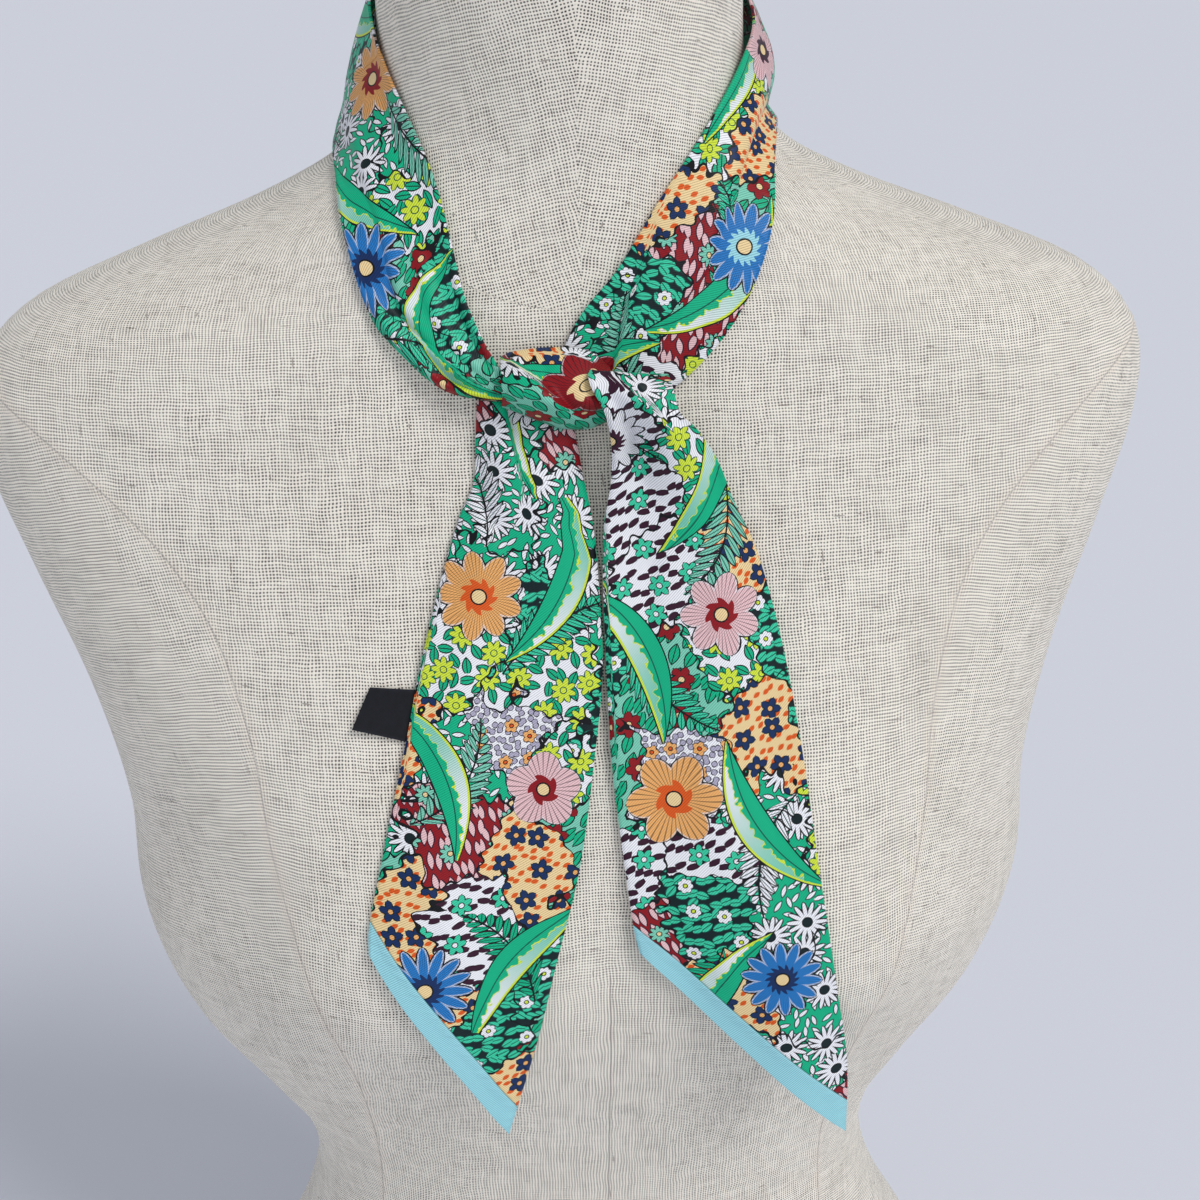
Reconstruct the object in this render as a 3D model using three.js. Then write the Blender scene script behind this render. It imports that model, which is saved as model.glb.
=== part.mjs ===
// Skinny twill scarf, once round the neck of a linen covered dress form and tied in a half knot.
// Millimetres, +Z up, front on -Y. Tables run upwards on the form and along each stretch of the scarf.
import * as THREE from "three";

// ---- Dress form: level outlines, lowest first ----
// z is the height, half is half the width, front and back are depths from the neck's axis. square and
// squareBack are the powers of each outline: 2 is an ellipse, and more is squarer.
const formRows = [
  { z: 0, half: 160, front: 100, back: 106, square: 2.3, squareBack: 2.3 },
  { z: 45, half: 166, front: 104, back: 112, square: 2.3, squareBack: 2.3 },
  { z: 100, half: 153, front: 102, back: 104, square: 2.25, squareBack: 2.3 },
  { z: 160, half: 124, front: 91, back: 82, square: 2.2, squareBack: 2.3 },
  { z: 203, half: 113, front: 84, back: 70, square: 2.2, squareBack: 2.3 },
  { z: 236, half: 118, front: 87, back: 73, square: 2.2, squareBack: 2.4 },
  { z: 266, half: 135, front: 94, back: 80, square: 2.25, squareBack: 2.5 },
  { z: 302, half: 156, front: 105, back: 89, square: 2.3, squareBack: 2.6 },
  { z: 342, half: 166, front: 110, back: 96, square: 2.4, squareBack: 2.7 },
  { z: 385, half: 166, front: 107, back: 100, square: 2.4, squareBack: 2.9 },
  { z: 430, half: 174, front: 97, back: 100, square: 2.5, squareBack: 3 },
  { z: 475, half: 188, front: 84, back: 94, square: 2.6, squareBack: 2.9 },
  { z: 510, half: 198, front: 74, back: 84, square: 2.6, squareBack: 2.8 },
  { z: 536, half: 197, front: 68, back: 75, square: 2.5, squareBack: 2.6 },
  { z: 556, half: 179, front: 64, back: 68, square: 2.3, squareBack: 2.3 },
  { z: 573, half: 140, front: 61, back: 64, square: 2.1, squareBack: 2.1 },
  { z: 588, half: 101, front: 60, back: 61, square: 2, squareBack: 2 },
  { z: 602, half: 74, front: 59, back: 59, square: 2, squareBack: 2 },
  { z: 620, half: 61, front: 60, back: 56, square: 2, squareBack: 2 },
  { z: 650, half: 58, front: 62, back: 53, square: 2, squareBack: 2 },
  { z: 690, half: 58, front: 66, back: 49, square: 2, squareBack: 2 },
];
const bust = { apart: 78, z: 352, high: 20, wide: 50, above: 75, below: 42 };
// The neck seam is lowest at the throat and rises towards the sides and the back.
const neckSeam = { low: 563, throat: 60, alongX: 0.006, alongY: 0.4, groove: 0.3 };
const formSides = 48;
const levelTop = 515; // below this height the body's rings lie level
const levelRings = 22;
const shoulderRings = 13; // above it they turn towards the neck seam
const neckRings = 7;
const standBack = 8; // moves the whole part back so that its box is centred on the origin

// ---- Scarf ----
const bandWide = 60; // width of the folded twill laid flat
const cloth = 1.2; // its wall
const seamGap = 0.3; // between stretches that meet
const offNeck = 2.4; // least distance of the loop's middle from the form, which is hollow at the neck's foot
const offFront = 1.5; // the same for the stretches on the chest
const loopRise = 30; // height share of the way the loop bows out
const hangFrom = 350; // the tails hang straight below this height
const hangSoft = 12; // over this much height they leave the form

// The loop round the neck, from the knot up the wearer's right side, round the back and down again.
// Each row gives the edge against the neck and the outer edge; bow rounds the band out, fold pleats it.
const loopRows = [
  { neckX: -16, neckY: -75, neckZ: 545, outX: -17, outY: -76.5, outZ: 538.8, bow: 0.5, fold: 0 },
  { neckX: -24, neckY: -74, neckZ: 546, outX: -26, outY: -75.5, outZ: 538.6, bow: 1, fold: 0.2 },
  { neckX: -28, neckY: -71, neckZ: 551, outX: -42, outY: -72, outZ: 541.2, bow: 1.6, fold: 0.7 },
  { neckX: -31.5, neckY: -66, neckZ: 558, outX: -55.5, outY: -66, outZ: 552, bow: 2.6, fold: 1.3 },
  { neckX: -35, neckY: -62, neckZ: 568, outX: -64, outY: -60, outZ: 563, bow: 4, fold: 1.5 },
  { neckX: -38, neckY: -58, neckZ: 583, outX: -69, outY: -47, outZ: 581, bow: 4, fold: 1.1 },
  { neckX: -42, neckY: -51, neckZ: 600, outX: -72, outY: -29, outZ: 597, bow: 4, fold: 0.8 },
  { neckX: -49, neckY: -37, neckZ: 618, outX: -74, outY: -6, outZ: 604, bow: 4, fold: 0.5 },
  { neckX: -56, neckY: -20, neckZ: 634, outX: -73, outY: 16, outZ: 606, bow: 4, fold: 0.2 },
  { neckX: -59, neckY: 2, neckZ: 650, outX: -66, outY: 37, outZ: 608, bow: 4, fold: 0 },
  { neckX: -52, neckY: 30, neckZ: 661, outX: -50, outY: 55, outZ: 610, bow: 3, fold: 0 },
  { neckX: -29, neckY: 49, neckZ: 666, outX: -27, outY: 65, outZ: 611, bow: 2, fold: 0.2 },
  { neckX: 0, neckY: 55, neckZ: 668, outX: 0, outY: 68, outZ: 611, bow: 2, fold: 0.4 },
  { neckX: 29, neckY: 49, neckZ: 666, outX: 27, outY: 65, outZ: 611, bow: 2, fold: 0.2 },
  { neckX: 51.5, neckY: 30, neckZ: 661, outX: 51, outY: 55, outZ: 610, bow: 3.6, fold: 0 },
  { neckX: 58.5, neckY: 2, neckZ: 651, outX: 65, outY: 36, outZ: 607, bow: 5, fold: 0 },
  { neckX: 59.5, neckY: -16, neckZ: 640, outX: 67, outY: 16, outZ: 604, bow: 6.4, fold: 0.2 },
  { neckX: 53.5, neckY: -31, neckZ: 630, outX: 64.2, outY: -4, outZ: 603, bow: 5.4, fold: 0.3 },
  { neckX: 44, neckY: -44, neckZ: 618, outX: 62.8, outY: -21, outZ: 603, bow: 4.4, fold: 0.4 },
  { neckX: 34, neckY: -52.5, neckZ: 606, outX: 61, outY: -38, outZ: 596, bow: 3.4, fold: 0.6 },
  { neckX: 23, neckY: -58, neckZ: 592, outX: 59, outY: -50, outZ: 583, bow: 3, fold: 0.8 },
  { neckX: 11, neckY: -62, neckZ: 574, outX: 54, outY: -59, outZ: 569, bow: 3, fold: 0.9 },
  { neckX: 0, neckY: -65, neckZ: 562, outX: 46, outY: -64, outZ: 556, bow: 2, fold: 0.8 },
  { neckX: -6, neckY: -67, neckZ: 552, outX: 36, outY: -67, outZ: 545, bow: 0.6, fold: 0.3 },
  { neckX: -7, neckY: -68, neckZ: 545, outX: 26, outY: -69, outZ: 537, bow: 0.2, fold: 0.1 },
];
const loopCuts = { left: 8, right: 16 }; // rows, counted from 0, where the back meets the two sides

// Stretches in front of the form: both edges in x and z, and off, the distance in front of its surface.
const wrapRows = [
  { leftX: 7, leftZ: 546, rightX: 7, rightZ: 531, off: 5.4, bow: 6.5, fold: 0.2 },
  { leftX: 1, leftZ: 551, rightX: 0, rightZ: 528.6, off: 5.4, bow: 10, fold: 0.3 },
  { leftX: -8, leftZ: 552.5, rightX: -8, rightZ: 529.3, off: 5.4, bow: 11, fold: 0.4 },
  { leftX: -17, leftZ: 552.3, rightX: -17, rightZ: 532.6, off: 5.4, bow: 10.5, fold: 0.3 },
  { leftX: -23, leftZ: 551.5, rightX: -23.5, rightZ: 535.3, off: 5.4, bow: 10, fold: 0.1 },
  { leftX: -25.8, leftZ: 550.3, rightX: -26.2, rightZ: 536.2, off: 5.2, bow: 9, fold: 0 },
];
const leftTailRows = [
  { leftX: -33.5, leftZ: 537, rightX: -6, rightZ: 537, off: 2.2, bow: 0.6, fold: 0.3 },
  { leftX: -34.5, leftZ: 525, rightX: -4, rightZ: 525, off: 2.4, bow: 2, fold: 0.8 },
  { leftX: -36, leftZ: 512, rightX: -2, rightZ: 512, off: 2.6, bow: 2.6, fold: 1 },
  { leftX: -40.5, leftZ: 503, rightX: 0, rightZ: 500, off: 2.6, bow: 2.6, fold: 1 },
  { leftX: -46.5, leftZ: 487, rightX: 1.1, rightZ: 482, off: 2.6, bow: 2, fold: 0.8 },
  { leftX: -54.5, leftZ: 462, rightX: 1.1, rightZ: 455, off: 3, bow: 1, fold: 0.6 },
  { leftX: -61.5, leftZ: 436, rightX: -3, rightZ: 426, off: 3, bow: 0.6, fold: 0.4 },
  { leftX: -68.5, leftZ: 411, rightX: -9, rightZ: 393, off: 2.4, bow: 0.4, fold: 0.4 },
  { leftX: -74.5, leftZ: 389, rightX: -18, rightZ: 361, off: 2.6, bow: 0.3, fold: 0.5 },
  { leftX: -76.5, leftZ: 380, rightX: -25, rightZ: 334, off: 3, bow: 0.2, fold: 0.5 },
  { leftX: -77, leftZ: 373, rightX: -36, rightZ: 299, off: 4, bow: 0, fold: 0.3 },
];
const rightTailRows = [
  { leftX: 14, leftZ: 536, rightX: 22, rightZ: 536, off: 8, bow: 0.2, fold: 0 },
  { leftX: 12, leftZ: 542, rightX: 23, rightZ: 541, off: 9, bow: 0.4, fold: 0 },
  { leftX: 1, leftZ: 547.5, rightX: 24, rightZ: 545, off: 13, bow: 0.8, fold: 0.2 },
  { leftX: 0, leftZ: 545, rightX: 25, rightZ: 542, off: 17, bow: 1, fold: 0.3 },
  { leftX: 4, leftZ: 537, rightX: 27, rightZ: 535, off: 17, bow: 1.4, fold: 0.6 },
  { leftX: 6, leftZ: 527, rightX: 33, rightZ: 528, off: 12.6, bow: 2, fold: 0.9 },
  { leftX: 6, leftZ: 515, rightX: 39.5, rightZ: 517, off: 8, bow: 2, fold: 1 },
  { leftX: 4, leftZ: 502, rightX: 44.5, rightZ: 504, off: 4.8, bow: 2, fold: 1 },
  { leftX: 2.6, leftZ: 485, rightX: 51.5, rightZ: 488, off: 3.2, bow: 1.4, fold: 0.9 },
  { leftX: 2.4, leftZ: 456, rightX: 58.5, rightZ: 460, off: 2.6, bow: 0.8, fold: 0.7 },
  { leftX: 2.8, leftZ: 426, rightX: 63.5, rightZ: 427, off: 2.4, bow: 0.4, fold: 0.4 },
  { leftX: 5, leftZ: 398, rightX: 67.5, rightZ: 389, off: 2.4, bow: 0.3, fold: 0.4 },
  { leftX: 7, leftZ: 378, rightX: 73, rightZ: 349, off: 2.8, bow: 0.2, fold: 0.5 },
  { leftX: 8, leftZ: 370, rightX: 77.5, rightZ: 319, off: 3.2, bow: 0.2, fold: 0.5 },
  { leftX: 9.5, leftZ: 363, rightX: 78, rightZ: 290, off: 4, bow: 0, fold: 0.3 },
];
// Pleats across each stretch: waves is how many ridges lie across it, turn where the first one starts.
const pleats = {
  loop: { waves: 2, turn: 0.6 },
  wrap: { waves: 1.5, turn: 2.2 },
  leftTail: { waves: 1.5, turn: 3.6 },
  rightTail: { waves: 1.5, turn: 0.4 },
};
// Creases that the knot and the hand leave in the cloth. Each runs through its points, and a point's last
// number is how far the cloth stands up there; left and right are how far that spreads on either side.
// On the chest a point is x and z, and round the neck it is the loop's row and the share across the band.
const creases = [
  { on: "wrap", left: 0.9, right: 8, path: [[-27.5, 549.2, 0.6], [-23.2, 549.6, 1.8], [-20.2, 548.4, 2.4],
    [-15.8, 545.6, 2.6], [-11.2, 541, 2.3], [-7.5, 537.4, 1.6], [-4, 534, 0.8], [-0.5, 531.5, 0]] },
  { on: "wrap", left: 3, right: 2, path: [[-19, 551.5, 0], [-13.5, 547.2, -1.2], [-8.5, 541.5, -1.3],
    [-4, 537, -0.8], [1, 533.5, 0]] },
  { on: "wrap", left: 3, right: 2.5, path: [[7, 540.5, 1], [1, 539.5, 0.9], [-5, 540.8, 0.4],
    [-9, 543, 0]] },
  { on: "wrap", left: 2, right: 2, path: [[7, 536, -1], [2, 535, -0.8], [-3, 536.3, -0.3], [-6, 538, 0]] },
  { on: "wrap", left: 0.5, right: 4, path: [[-26, 549.3, 0], [-20, 550.9, 0.7], [-12, 551.4, 0.8],
    [-4, 550.6, 0.8], [3, 547.6, 0.4], [6, 545.6, 0]] },
  { on: "rightTail", left: 1.2, right: 4, path: [[3, 546.6, 0.6], [7, 545.2, 1.7], [11.3, 543.2, 2.5],
    [15.5, 540, 2.8], [19.5, 536, 2.4], [22, 532, 1], [23.5, 528, 0]] },
  { on: "rightTail", left: 7, right: 5, path: [[18.5, 538, 0], [21.5, 531, 1.8], [24.5, 522, 2],
    [28, 511, 1.4], [28.5, 500, 0.7], [24, 489, 0]] },
  { on: "rightTail", left: 4, right: 3.5, path: [[9, 540, 0], [12.5, 535.5, -1.6], [15, 530, -2.6],
    [15.6, 522, -2.4], [16.5, 513, -1.5], [19, 504, -0.6], [22, 497, 0]] },
  { on: "rightTail", left: 4, right: 4, path: [[8, 538, 0.4], [9, 528, 0.8], [9, 515, 0.8], [8, 500, 0.5],
    [8, 480, 0]] },
  { on: "rightTail", left: 2.5, right: 3, path: [[27, 500, 0], [21, 493, -0.6], [18, 485, -0.8],
    [17, 476, -0.5], [18, 468, 0]] },
  { on: "rightTail", left: 9, right: 6, path: [[40, 472, 0], [36, 447, 0.8], [33, 420, 1], [37, 396, 0.6],
    [45, 372, 0]] },
  { on: "rightTail", left: 6, right: 8, path: [[52, 458, 0], [50, 432, -0.7], [53, 405, -0.9],
    [58, 380, -0.5], [63, 348, 0]] },
  { on: "rightTail", left: 7, right: 5, path: [[26, 402, 0], [23, 386, 0.6], [30, 366, 0.8],
    [44, 346, 0.4], [61, 328, 0]] },
  { on: "rightTail", left: 3, right: 0.4, path: [[4.9, 513, 0], [4.3, 502, 0.5], [4.1, 485, 0.6],
    [4, 460, 0.6], [4.2, 436, 0.5], [5.4, 414, 0]] },
  { on: "leftTail", left: 0.9, right: 7, path: [[-26.4, 537, 1], [-24.9, 530, 2], [-23.8, 523.4, 2.2],
    [-22.3, 515.5, 1.8], [-21.9, 511.5, 1.3], [-22.9, 507, 0.7], [-26, 501, 0]] },
  { on: "leftTail", left: 3.5, right: 2, path: [[-36.8, 517.5, -0.4], [-34.8, 513.5, -1.2],
    [-34, 509, -1.7], [-32, 502, -1.4], [-28.5, 496, -0.7], [-23, 488, 0]] },
  { on: "leftTail", left: 8, right: 6, path: [[-16, 534, 0.4], [-15.5, 525, 1.4], [-13.5, 512, 1.8],
    [-13, 497, 1.5], [-14, 478, 1], [-18, 455, 0.5], [-22, 430, 0]] },
  { on: "leftTail", left: 2.5, right: 3.5, path: [[-5.5, 527, 0], [-5.2, 515, -0.8], [-4, 500, -1],
    [-3.5, 481, -0.6], [-5, 462, 0]] },
  { on: "leftTail", left: 7, right: 9, path: [[-43, 472, 0], [-42, 450, 0.7], [-45, 425, 0.9],
    [-52, 401, 0.5], [-58, 386, 0]] },
  { on: "leftTail", left: 6, right: 7, path: [[-21, 442, 0], [-26, 418, -0.7], [-33, 396, -0.8],
    [-40, 375, -0.4], [-45, 350, 0]] },
  { on: "leftTail", left: 5, right: 4, path: [[-61, 406, 0], [-57, 392, 0.6], [-50, 377, 0.7],
    [-42, 355, 0.4], [-38, 334, 0]] },
  { on: "leftTail", left: 3, right: 0.4, path: [[-44.5, 488, 0], [-50.6, 470, 0.5], [-56.2, 452, 0.6],
    [-61.4, 430, 0.5], [-66, 413, 0]] },
  { on: "collarLeft", left: 7, right: 7, path: [[6.8, 0.42, 0], [5.6, 0.4, -0.8], [4.5, 0.42, -1.4],
    [3, 0.5, -1.6], [2.2, 0.45, -1.2], [1.2, 0.5, -0.4], [0.6, 0.5, 0]] },
  { on: "collarLeft", left: 1.5, right: 9, path: [[4.2, 0.86, 0], [3.5, 0.76, 1.2], [2.8, 0.64, 1.9],
    [2.2, 0.58, 1.8], [1.6, 0.66, 1], [1, 0.76, 0]] },
  { on: "collarLeft", left: 3, right: 4, path: [[2.8, 0.93, 0], [2.1, 0.9, 1], [1.6, 0.88, 1],
    [1.1, 0.9, 0]] },
  { on: "collarLeft", left: 3, right: 2, path: [[2.5, 0.84, 0], [1.9, 0.8, -0.8], [1.5, 0.83, -0.7],
    [1.1, 0.86, 0]] },
  { on: "collarLeft", left: 8, right: 8, path: [[8, 0.7, 0], [6.8, 0.66, 0.8], [5.8, 0.7, 1],
    [4.9, 0.78, 0.6], [4.2, 0.84, 0]] },
  { on: "collarBack", left: 7, right: 9, path: [[8.8, 0.3, 0], [10.5, 0.35, 0.9], [12.2, 0.42, 1.1],
    [13.5, 0.38, 0.5], [14.6, 0.35, 0]] },
  { on: "collarBack", left: 8, right: 6, path: [[9.8, 0.7, 0], [11.5, 0.66, -0.8], [13, 0.7, -1],
    [15, 0.62, -0.5], [15.8, 0.6, 0]] },
  { on: "collarBack", left: 4, right: 5, path: [[13.6, 0.15, 0], [14.6, 0.2, 0.6], [15.6, 0.18, 0]] },
  { on: "collarRight", left: 10, right: 1.5, path: [[19.2, 0.02, 0], [20.2, 0.06, 1], [21.2, 0.2, 1.5],
    [22.5, 0.33, 1.4], [23.4, 0.42, 0.8], [24, 0.47, 0]] },
  { on: "collarRight", left: 9, right: 7, path: [[16.8, 0.75, 0], [18.2, 0.7, -0.9], [19.6, 0.68, -1.2],
    [21, 0.66, -1], [22.4, 0.66, -0.6], [23.4, 0.62, 0]] },
  { on: "collarRight", left: 7, right: 7, path: [[16.4, 0.4, 0], [17.8, 0.42, 0.8], [19, 0.46, 1],
    [20.4, 0.5, 0.6], [21.5, 0.5, 0]] },
  { on: "collarRight", left: 4, right: 5, path: [[21.6, 0.9, 0], [22.4, 0.86, 0.6], [23.2, 0.84, 0]] },
];
const leastSpread = 2.2; // the solids' points lie too far apart for a sharper crease
// The label's lower and upper edge, each from under the tail's edge to its free end.
const labelRows = [
  { sewnX: -60, sewnZ: 437, freeX: -78, freeZ: 440 },
  { sewnX: -56.5, sewnZ: 452, freeX: -71, freeZ: 451 },
];
const label = { lanes: 6, off: 1.2, thick: 0.5 };

// ---- Tables ----
// Catmull-Rom between the rows of a table whose key column rises.
function rowAt(rows, key, at) {
  let i = 1;
  while (i < rows.length - 1 && rows[i][key] < at) i += 1;
  const low = rows[i - 1];
  const high = rows[i];
  const before = rows[i - 2] ?? low;
  const after = rows[i + 1] ?? high;
  const span = high[key] - low[key];
  const t = Math.min(1, Math.max(0, (at - low[key]) / span));
  const row = {};
  for (const name of Object.keys(low)) {
    const slopeLow = ((high[name] - before[name]) / (high[key] - before[key])) * span;
    const slopeHigh = ((after[name] - low[name]) / (after[key] - low[key])) * span;
    row[name] = (2 * t ** 3 - 3 * t ** 2 + 1) * low[name] + (t ** 3 - 2 * t ** 2 + t) * slopeLow
      + (3 * t ** 2 - 2 * t ** 3) * high[name] + (t ** 3 - t ** 2) * slopeHigh;
  }
  return row;
}

// Gives each row its distance along the stretch, measured down the middle.
function measured(rows, pointOf) {
  let along = 0;
  return rows.map((row, i) => {
    if (i > 0) along += pointOf(row, 0.5).distanceTo(pointOf(rows[i - 1], 0.5));
    return { ...row, along };
  });
}

// ---- Dress form ----
function bustRise(x, z) {
  const side = (Math.abs(x) - bust.apart) / bust.wide;
  const up = (z - bust.z) / (z > bust.z ? bust.above : bust.below);
  return bust.high * Math.exp(-side * side - up * up);
}

function formPoint(z, turn) {
  const row = rowAt(formRows, "z", z);
  const c = Math.cos(turn);
  const s = Math.sin(turn);
  const bend = 2 / (s < 0 ? row.square : row.squareBack);
  const x = row.half * Math.sign(c) * Math.abs(c) ** bend;
  const depth = s < 0 ? row.front + bustRise(x, z) : row.back;
  return new THREE.Vector3(x, depth * Math.sign(s) * Math.abs(s) ** bend, z);
}

function formFront(x, z) {
  const row = rowAt(formRows, "z", z);
  const share = Math.min(1, Math.abs(x) / row.half);
  return -(row.front + bustRise(x, z)) * (1 - share ** row.square) ** (1 / row.square);
}

// Below 0 inside the form and above 0 outside it, not yet in millimetres.
function formField(p) {
  const row = rowAt(formRows, "z", p.z);
  const power = p.y < 0 ? row.square : row.squareBack;
  const depth = p.y < 0 ? row.front + bustRise(p.x, p.z) : row.back;
  return ((Math.abs(p.x) / row.half) ** power + (Math.abs(p.y) / depth) ** power) ** (1 / power) - 1;
}

function clearOfForm(point, gap) {
  const p = point.clone();
  const step = 0.2;
  for (let pass = 0; pass < 5; pass += 1) {
    const here = formField(p);
    const slope = new THREE.Vector3(
      formField(p.clone().setX(p.x + step)) - here,
      formField(p.clone().setY(p.y + step)) - here,
      formField(p.clone().setZ(p.z + step)) - here,
    ).divideScalar(step);
    const away = here / slope.length();
    if (away >= gap) break;
    p.addScaledVector(slope.normalize(), gap - away);
  }
  return p;
}

function seamHeight(p) {
  return neckSeam.low + neckSeam.alongX * p.x ** 2 + neckSeam.alongY * (p.y + neckSeam.throat);
}

// The point of the form's outline that lies on the neck seam, raised by lift.
function seamPoint(turn, lift) {
  let p = formPoint(neckSeam.low, turn);
  for (let pass = 0; pass < 40; pass += 1) {
    p = formPoint((p.z + seamHeight(p) + lift) / 2, turn);
  }
  return p;
}

function turns() {
  return Array.from({ length: formSides }, (_, i) => (2 * Math.PI * i) / formSides);
}

function formBody() {
  const rings = Array.from({ length: levelRings }, (_, r) => (
    turns().map((turn) => formPoint((levelTop * r) / levelRings, turn))));
  for (let r = 0; r <= shoulderRings; r += 1) {
    const up = Math.sin((Math.PI / 2) * (r / shoulderRings));
    rings.push(turns().map((turn) => {
      const seam = seamPoint(turn, 0);
      return r === shoulderRings ? seam : formPoint(levelTop + (seam.z - levelTop) * up, turn);
    }));
  }
  return closedLoft(rings, 0, seamHeight({ x: 0, y: 0 }));
}

function formNeck() {
  const top = formRows.at(-1).z;
  const rings = Array.from({ length: neckRings + 1 }, (_, r) => turns().map((turn) => {
    const low = seamPoint(turn, neckSeam.groove);
    return r === 0 ? low : formPoint(low.z + ((top - low.z) * r) / neckRings, turn);
  }));
  return closedLoft(rings, seamHeight({ x: 0, y: 0 }) + neckSeam.groove, top);
}

function closedLoft(rings, lowest, highest) {
  const sides = rings[0].length;
  const points = rings.flat();
  const faces = [];
  for (let r = 0; r < rings.length - 1; r += 1) {
    for (let i = 0; i < sides; i += 1) {
      const a = r * sides + i;
      const b = r * sides + ((i + 1) % sides);
      faces.push(a, b, b + sides, a, b + sides, a + sides);
    }
  }
  const last = (rings.length - 1) * sides;
  const bottom = points.push(new THREE.Vector3(0, 0, lowest)) - 1;
  const top = points.push(new THREE.Vector3(0, 0, highest)) - 1;
  for (let i = 0; i < sides; i += 1) {
    const j = (i + 1) % sides;
    faces.push(bottom, j, i, top, last + i, last + j);
  }
  return geometryOf(points, faces);
}

// ---- Scarf stretches ----
function pleat(across, { waves, turn }) {
  const wave = 2 * Math.PI * waves * across;
  return Math.cos(wave + turn) + 0.45 * Math.cos(1.85 * wave - turn);
}

function bowed(across) {
  return Math.sin(Math.PI * across);
}

function segmentNearest(path, x, z) {
  let nearest = null;
  for (let i = 1; i < path.length; i += 1) {
    const [fromX, fromZ, fromLift] = path[i - 1];
    const runX = path[i][0] - fromX;
    const runZ = path[i][1] - fromZ;
    const share = ((x - fromX) * runX + (z - fromZ) * runZ) / (runX ** 2 + runZ ** 2);
    const t = Math.min(1, Math.max(0, share));
    const overX = x - fromX - runX * t;
    const overZ = z - fromZ - runZ * t;
    const away = Math.hypot(overX, overZ);
    if (nearest === null || away < nearest.away) {
      nearest = { away, onLeft: runX * overZ > runZ * overX, lift: fromLift + (path[i][2] - fromLift) * t };
    }
  }
  return nearest;
}

// How far the creases raise the cloth at x and z; in the solids each spreads at least leastSpread.
function creaseLift(folds, x, z) {
  return folds.reduce((sum, { left, right, path }) => {
    const { away, onLeft, lift } = segmentNearest(path, x, z);
    return sum + lift * Math.exp(-((away / Math.max(onLeft ? left : right, leastSpread)) ** 2));
  }, 0);
}

function loopPoint(row, across, folds = []) {
  const p = new THREE.Vector3(row.neckX, row.neckY, row.neckZ)
    .lerp(new THREE.Vector3(row.outX, row.outY, row.outZ), across);
  const out = new THREE.Vector3(p.x, p.y, loopRise).normalize();
  const lift = row.bow * bowed(across) + row.fold * pleat(across, pleats.loop);
  p.addScaledVector(out, lift + creaseLift(folds, row.along, across * bandWide));
  return clearOfForm(p, offNeck);
}

function frontPoint(row, across, pleatOf, folds = []) {
  const x = row.leftX + (row.rightX - row.leftX) * across;
  const z = row.leftZ + (row.rightZ - row.leftZ) * across;
  const level = hangFrom + hangSoft * Math.log(1 + Math.exp((z - hangFrom) / hangSoft));
  const pleated = row.fold * (1 + pleat(across, pleatOf)) + creaseLift(folds, x, z);
  const off = row.off + row.bow * bowed(across) + pleated;
  return new THREE.Vector3(x, formFront(x, level) - Math.max(off, offFront), z);
}

function stretch(rows, from, to, steps, lanes, pointOf) {
  return Array.from({ length: steps + 1 }, (_, i) => {
    const row = rowAt(rows, "along", from + ((to - from) * i) / steps);
    return Array.from({ length: lanes + 1 }, (__, j) => pointOf(row, j / lanes));
  });
}

// The label's tape lies on the form, its free end on the far side from the tail.
function labelGrid() {
  return labelRows.map((row) => Array.from({ length: label.lanes + 1 }, (_, j) => {
    const across = j / label.lanes;
    const x = row.freeX + (row.sewnX - row.freeX) * across;
    const z = row.freeZ + (row.sewnZ - row.freeZ) * across;
    return new THREE.Vector3(x, formFront(x, z) - label.off, z);
  }));
}

// A wall of even thickness round a grid of points, closed at its rim.
function wall(grid, thick) {
  const wide = grid[0].length;
  const long = grid.length;
  const normals = grid.map((line, i) => line.map((_, j) => {
    const down = grid[Math.min(i + 1, long - 1)][j].clone().sub(grid[Math.max(i - 1, 0)][j]);
    const over = line[Math.min(j + 1, wide - 1)].clone().sub(line[Math.max(j - 1, 0)]);
    return down.cross(over).normalize();
  }));
  const side = (sign) => grid.flatMap((line, i) => line.map((p, j) => (
    p.clone().addScaledVector(normals[i][j], (sign * thick) / 2))));
  const points = [...side(1), ...side(-1)];
  const other = long * wide;
  const faces = [];
  const quad = (a, b, c, d) => faces.push(a, b, c, a, c, d);
  for (let i = 0; i < long - 1; i += 1) {
    for (let j = 0; j < wide - 1; j += 1) {
      const a = i * wide + j;
      quad(a, a + wide, a + wide + 1, a + 1);
      quad(other + a, other + a + 1, other + a + wide + 1, other + a + wide);
    }
  }
  const rim = [];
  for (let j = 0; j < wide - 1; j += 1) rim.push(j);
  for (let i = 0; i < long - 1; i += 1) rim.push(i * wide + wide - 1);
  for (let j = wide - 1; j > 0; j -= 1) rim.push((long - 1) * wide + j);
  for (let i = long - 1; i > 0; i -= 1) rim.push(i * wide);
  rim.forEach((a, k) => {
    const b = rim[(k + 1) % rim.length];
    quad(a, b, b + other, a + other);
  });
  return geometryOf(points, faces);
}

function geometryOf(points, faces) {
  const geometry = new THREE.BufferGeometry();
  const flat = points.flatMap((p) => [p.x, p.y, p.z]);
  geometry.setAttribute("position", new THREE.Float32BufferAttribute(flat, 3));
  geometry.setIndex(faces);
  geometry.computeVertexNormals();
  return geometry;
}

// ---- The part ----
const group = new THREE.Group();
group.position.set(0, standBack, 0);

function add(name, geometry, look) {
  const mesh = new THREE.Mesh(geometry, new THREE.MeshStandardMaterial({ metalness: 0, ...look }));
  mesh.name = name;
  group.add(mesh);
}

const linen = { color: 0xc9c4bb, roughness: 0.92 };
const twill = { color: 0x35a584, roughness: 0.5 };

add("form_body", formBody(), linen);
add("form_neck", formNeck(), linen);

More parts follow.
